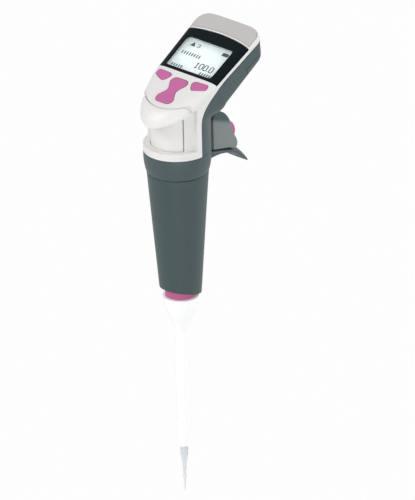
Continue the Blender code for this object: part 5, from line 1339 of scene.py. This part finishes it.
sleeve_outer = [
    (FUNNEL_RADIUS - SHOULDER_ROUND, SHOULDER_Z),
    (FUNNEL_RADIUS - SHOULDER_ROUND * 0.2, SHOULDER_Z - SHOULDER_ROUND * 0.4),
    (FUNNEL_RADIUS, SHOULDER_Z - SHOULDER_ROUND)]
FUNNEL_STEPS = 30
for step in range(1, FUNNEL_STEPS + 1):
    level = SHOULDER_Z - 0.3 * MM + (FUNNEL_FALL + 0.3 * MM) * step / FUNNEL_STEPS
    sleeve_outer.append((funnel_radius(level), level))
NOSE_STEPS = 16
for step in range(NOSE_STEPS + 1):
    level = mix(BARREL_BOTTOM, SLEEVE_END, step / NOSE_STEPS)
    sleeve_outer.append((nose_radius(level), level))
neck_bore = SLEEVE_NECK_RADIUS - SLEEVE_WALL
sleeve_inner = [
    (radius - SLEEVE_WALL, z) for radius, z in reversed(sleeve_outer) if radius < SLEEVE_NECK_RADIUS]
sleeve_profile = [
    (SLEEVE_COLLAR_RADIUS, SLEEVE_TOP), (SLEEVE_COLLAR_RADIUS, SLEEVE_TOP - SLEEVE_COLLAR),
    (SLEEVE_NECK_RADIUS, SLEEVE_TOP - SLEEVE_COLLAR), (SLEEVE_NECK_RADIUS, SHOULDER_Z)]
sleeve_profile += sleeve_outer + sleeve_inner
sleeve_profile += [(neck_bore, SHOULDER_Z - FUNNEL_HOLLOW), (neck_bore, SLEEVE_TOP)]
sleeve_white = plastic("sleeve_white", (0.9, 0.9, 0.895), 0.34, 0.5 * MM, 0.06, tint=0.02)
glowing_sleeve_shader = sleeve_white.node_tree.nodes["Principled BSDF"]
# Painted light: a faint white glow keeps the sleeve nearly as white as the backdrop
glowing_sleeve_shader.inputs["Emission Color"].default_value = (1.0, 1.0, 1.0, 1.0)
glowing_sleeve_shader.inputs["Emission Strength"].default_value = 0.09
show("long_sleeve", lathe("long_sleeve", sleeve_profile, 96), sleeve_white, "ejector", ["ejector_sleeve"])

# Disposable tip
# Clear polypropylene: a collar with fine upright ribs, a cone, a slim stem and a short
# nozzle with a fine hole.

TIP_TOP = SLEEVE_END - GAP
TIP_COLLAR_RADIUS = 2.2 * MM
TIP_LENGTH = 27.1 * MM
CONE_NOSE_RADIUS = 1.3 * MM
NOSE_END = TIP_TOP - 5.5 * MM
TIP_SHOULDER = TIP_TOP - 5.6 * MM
TIP_STEM_TOP = TIP_TOP - 9.5 * MM
TIP_STEP = TIP_TOP - 19.0 * MM
TIP_END = TIP_TOP - TIP_LENGTH
TIP_NECK_RADIUS = 1.8 * MM
TIP_CONE_RADIUS = 1.62 * MM
TIP_STEM_RADIUS = 1.22 * MM
TIP_STEP_RADIUS = 1.0 * MM
TIP_NOZZLE_RADIUS = 0.7 * MM
TIP_END_RADIUS = 0.38 * MM
TIP_HOLE_RADIUS = 0.18 * MM
RIB_DEPTH = 0.12 * MM
tip_bore = CONE_NOSE_RADIUS + GAP
# Half profile of the tip: radius, level, and 1 where the ribs are
tip_profile = (
    (TIP_COLLAR_RADIUS, TIP_TOP, 0), (TIP_COLLAR_RADIUS, TIP_TOP - 0.6 * MM, 0),
    (TIP_COLLAR_RADIUS, TIP_TOP - 0.75 * MM, 1), (TIP_COLLAR_RADIUS, TIP_SHOULDER + 0.2 * MM, 1),
    (TIP_NECK_RADIUS, TIP_SHOULDER - 0.3 * MM, 0), (TIP_CONE_RADIUS, TIP_STEM_TOP + 0.7 * MM, 0),
    (TIP_STEM_RADIUS, TIP_STEM_TOP, 0), (TIP_STEP_RADIUS, TIP_STEP, 0),
    (TIP_NOZZLE_RADIUS, TIP_STEP - 0.25 * MM, 0), (TIP_END_RADIUS, TIP_END, 0),
    (TIP_HOLE_RADIUS, TIP_END, 0), (0.3 * MM, TIP_STEP, 0), (0.7 * MM, TIP_STEM_TOP, 0),
    (tip_bore - 0.3 * MM, TIP_SHOULDER, 0),
    (tip_bore - 0.12 * MM, NOSE_END - 0.05 * MM, 0), (tip_bore, TIP_TOP, 0))
RIB_COUNT = 12
TIP_SIDES = RIB_COUNT * 8
tip_rings = []
for index in range(TIP_SIDES):
    angle = math.tau * index / TIP_SIDES
    groove = RIB_DEPTH * (0.5 - 0.5 * math.cos(RIB_COUNT * angle)) ** 3
    tip_rings.append([
        Vector(((radius - ribbed * groove) * math.cos(angle),
                (radius - ribbed * groove) * math.sin(angle), z))
        for radius, z, ribbed in tip_profile])
clear_tip = clear_plastic("clear_tip", (0.93, 0.945, 0.96), 0.8, 1.42, 260.0, 0.2, 0.34)
show("fitted_tip", loft("fitted_tip", tip_rings, closed=True), clear_tip, "tip", ["disposable_tip"])

# Pieces held inside
# Drive, board, battery, springs, seals and screws, as bought or turned. They keep their CAD
# shape, and each takes the finish of what it is made of.

inner_plastic = plastic("inner_plastic", (0.6, 0.6, 0.58), 0.5, 0.4 * MM, 0.2)
inner_steel = plastic(
    "inner_steel", (0.6, 0.61, 0.62), 0.32, 0.15 * MM, 0.12, tint=0.1, polish=0.25, metallic=1.0)
plate_metal = plastic(
    "plate_metal", (0.5, 0.51, 0.52), 0.42, 0.2 * MM, 0.15, tint=0.1, polish=0.2, metallic=1.0)
board_green = plastic("board_green", (0.03, 0.2, 0.09), 0.4, 0.6 * MM, 0.1, tint=0.2, coat=0.3)
chip_black = plastic("chip_black", (0.02, 0.02, 0.022), 0.55, 0.2 * MM, 0.3)
battery_wrap = plastic("battery_wrap", (0.05, 0.1, 0.22), 0.35, 1.5 * MM, 0.2, coat=0.4)
cable_amber = plastic("cable_amber", (0.75, 0.45, 0.12), 0.4, 0.6 * MM, 0.1)
contact_gold = plastic(
    "contact_gold", (0.83, 0.68, 0.35), 0.25, 0.2 * MM, 0.05, tint=0.1, metallic=1.0)
dark_rubber = plastic("dark_rubber", (0.05, 0.05, 0.05), 0.75, 0.2 * MM, 0.35)
FINISHES = {
    lcd_cell: ["lcd_module"],
    sleeve_white: ["tip_cone"],
    inner_plastic: ["lcd_frame", "cable_plug", "neck_tube", "cone_frame", "piston_holder"],
    inner_steel: ["housing_screw_left", "housing_screw_right", "ejector_rod", "ejector_spring",
                  "trigger_spring", "cone_nut", "seal_retainer", "seal_spring", "piston",
                  "lead_screw", "motor_rotor", "motor_screw_left", "motor_screw_right"],
    plate_metal: ["motor_cap", "motor_can", "motor_flange", "motor_bracket"],
    board_green: ["main_board"],
    chip_black: ["controller_chip", "memory_chip", "buzzer", "trigger_switch"],
    battery_wrap: ["battery_pack"],
    cable_amber: ["motor_cable"],
    contact_gold: ["charge_contact_left", "charge_contact_right"],
    dark_rubber: ["keypad_mat", "piston_seal"],
}
for material, node_names in FINISHES.items():
    for node_name in node_names:
        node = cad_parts[node_name]
        node.data.materials.clear()
        node.data.materials.append(material)
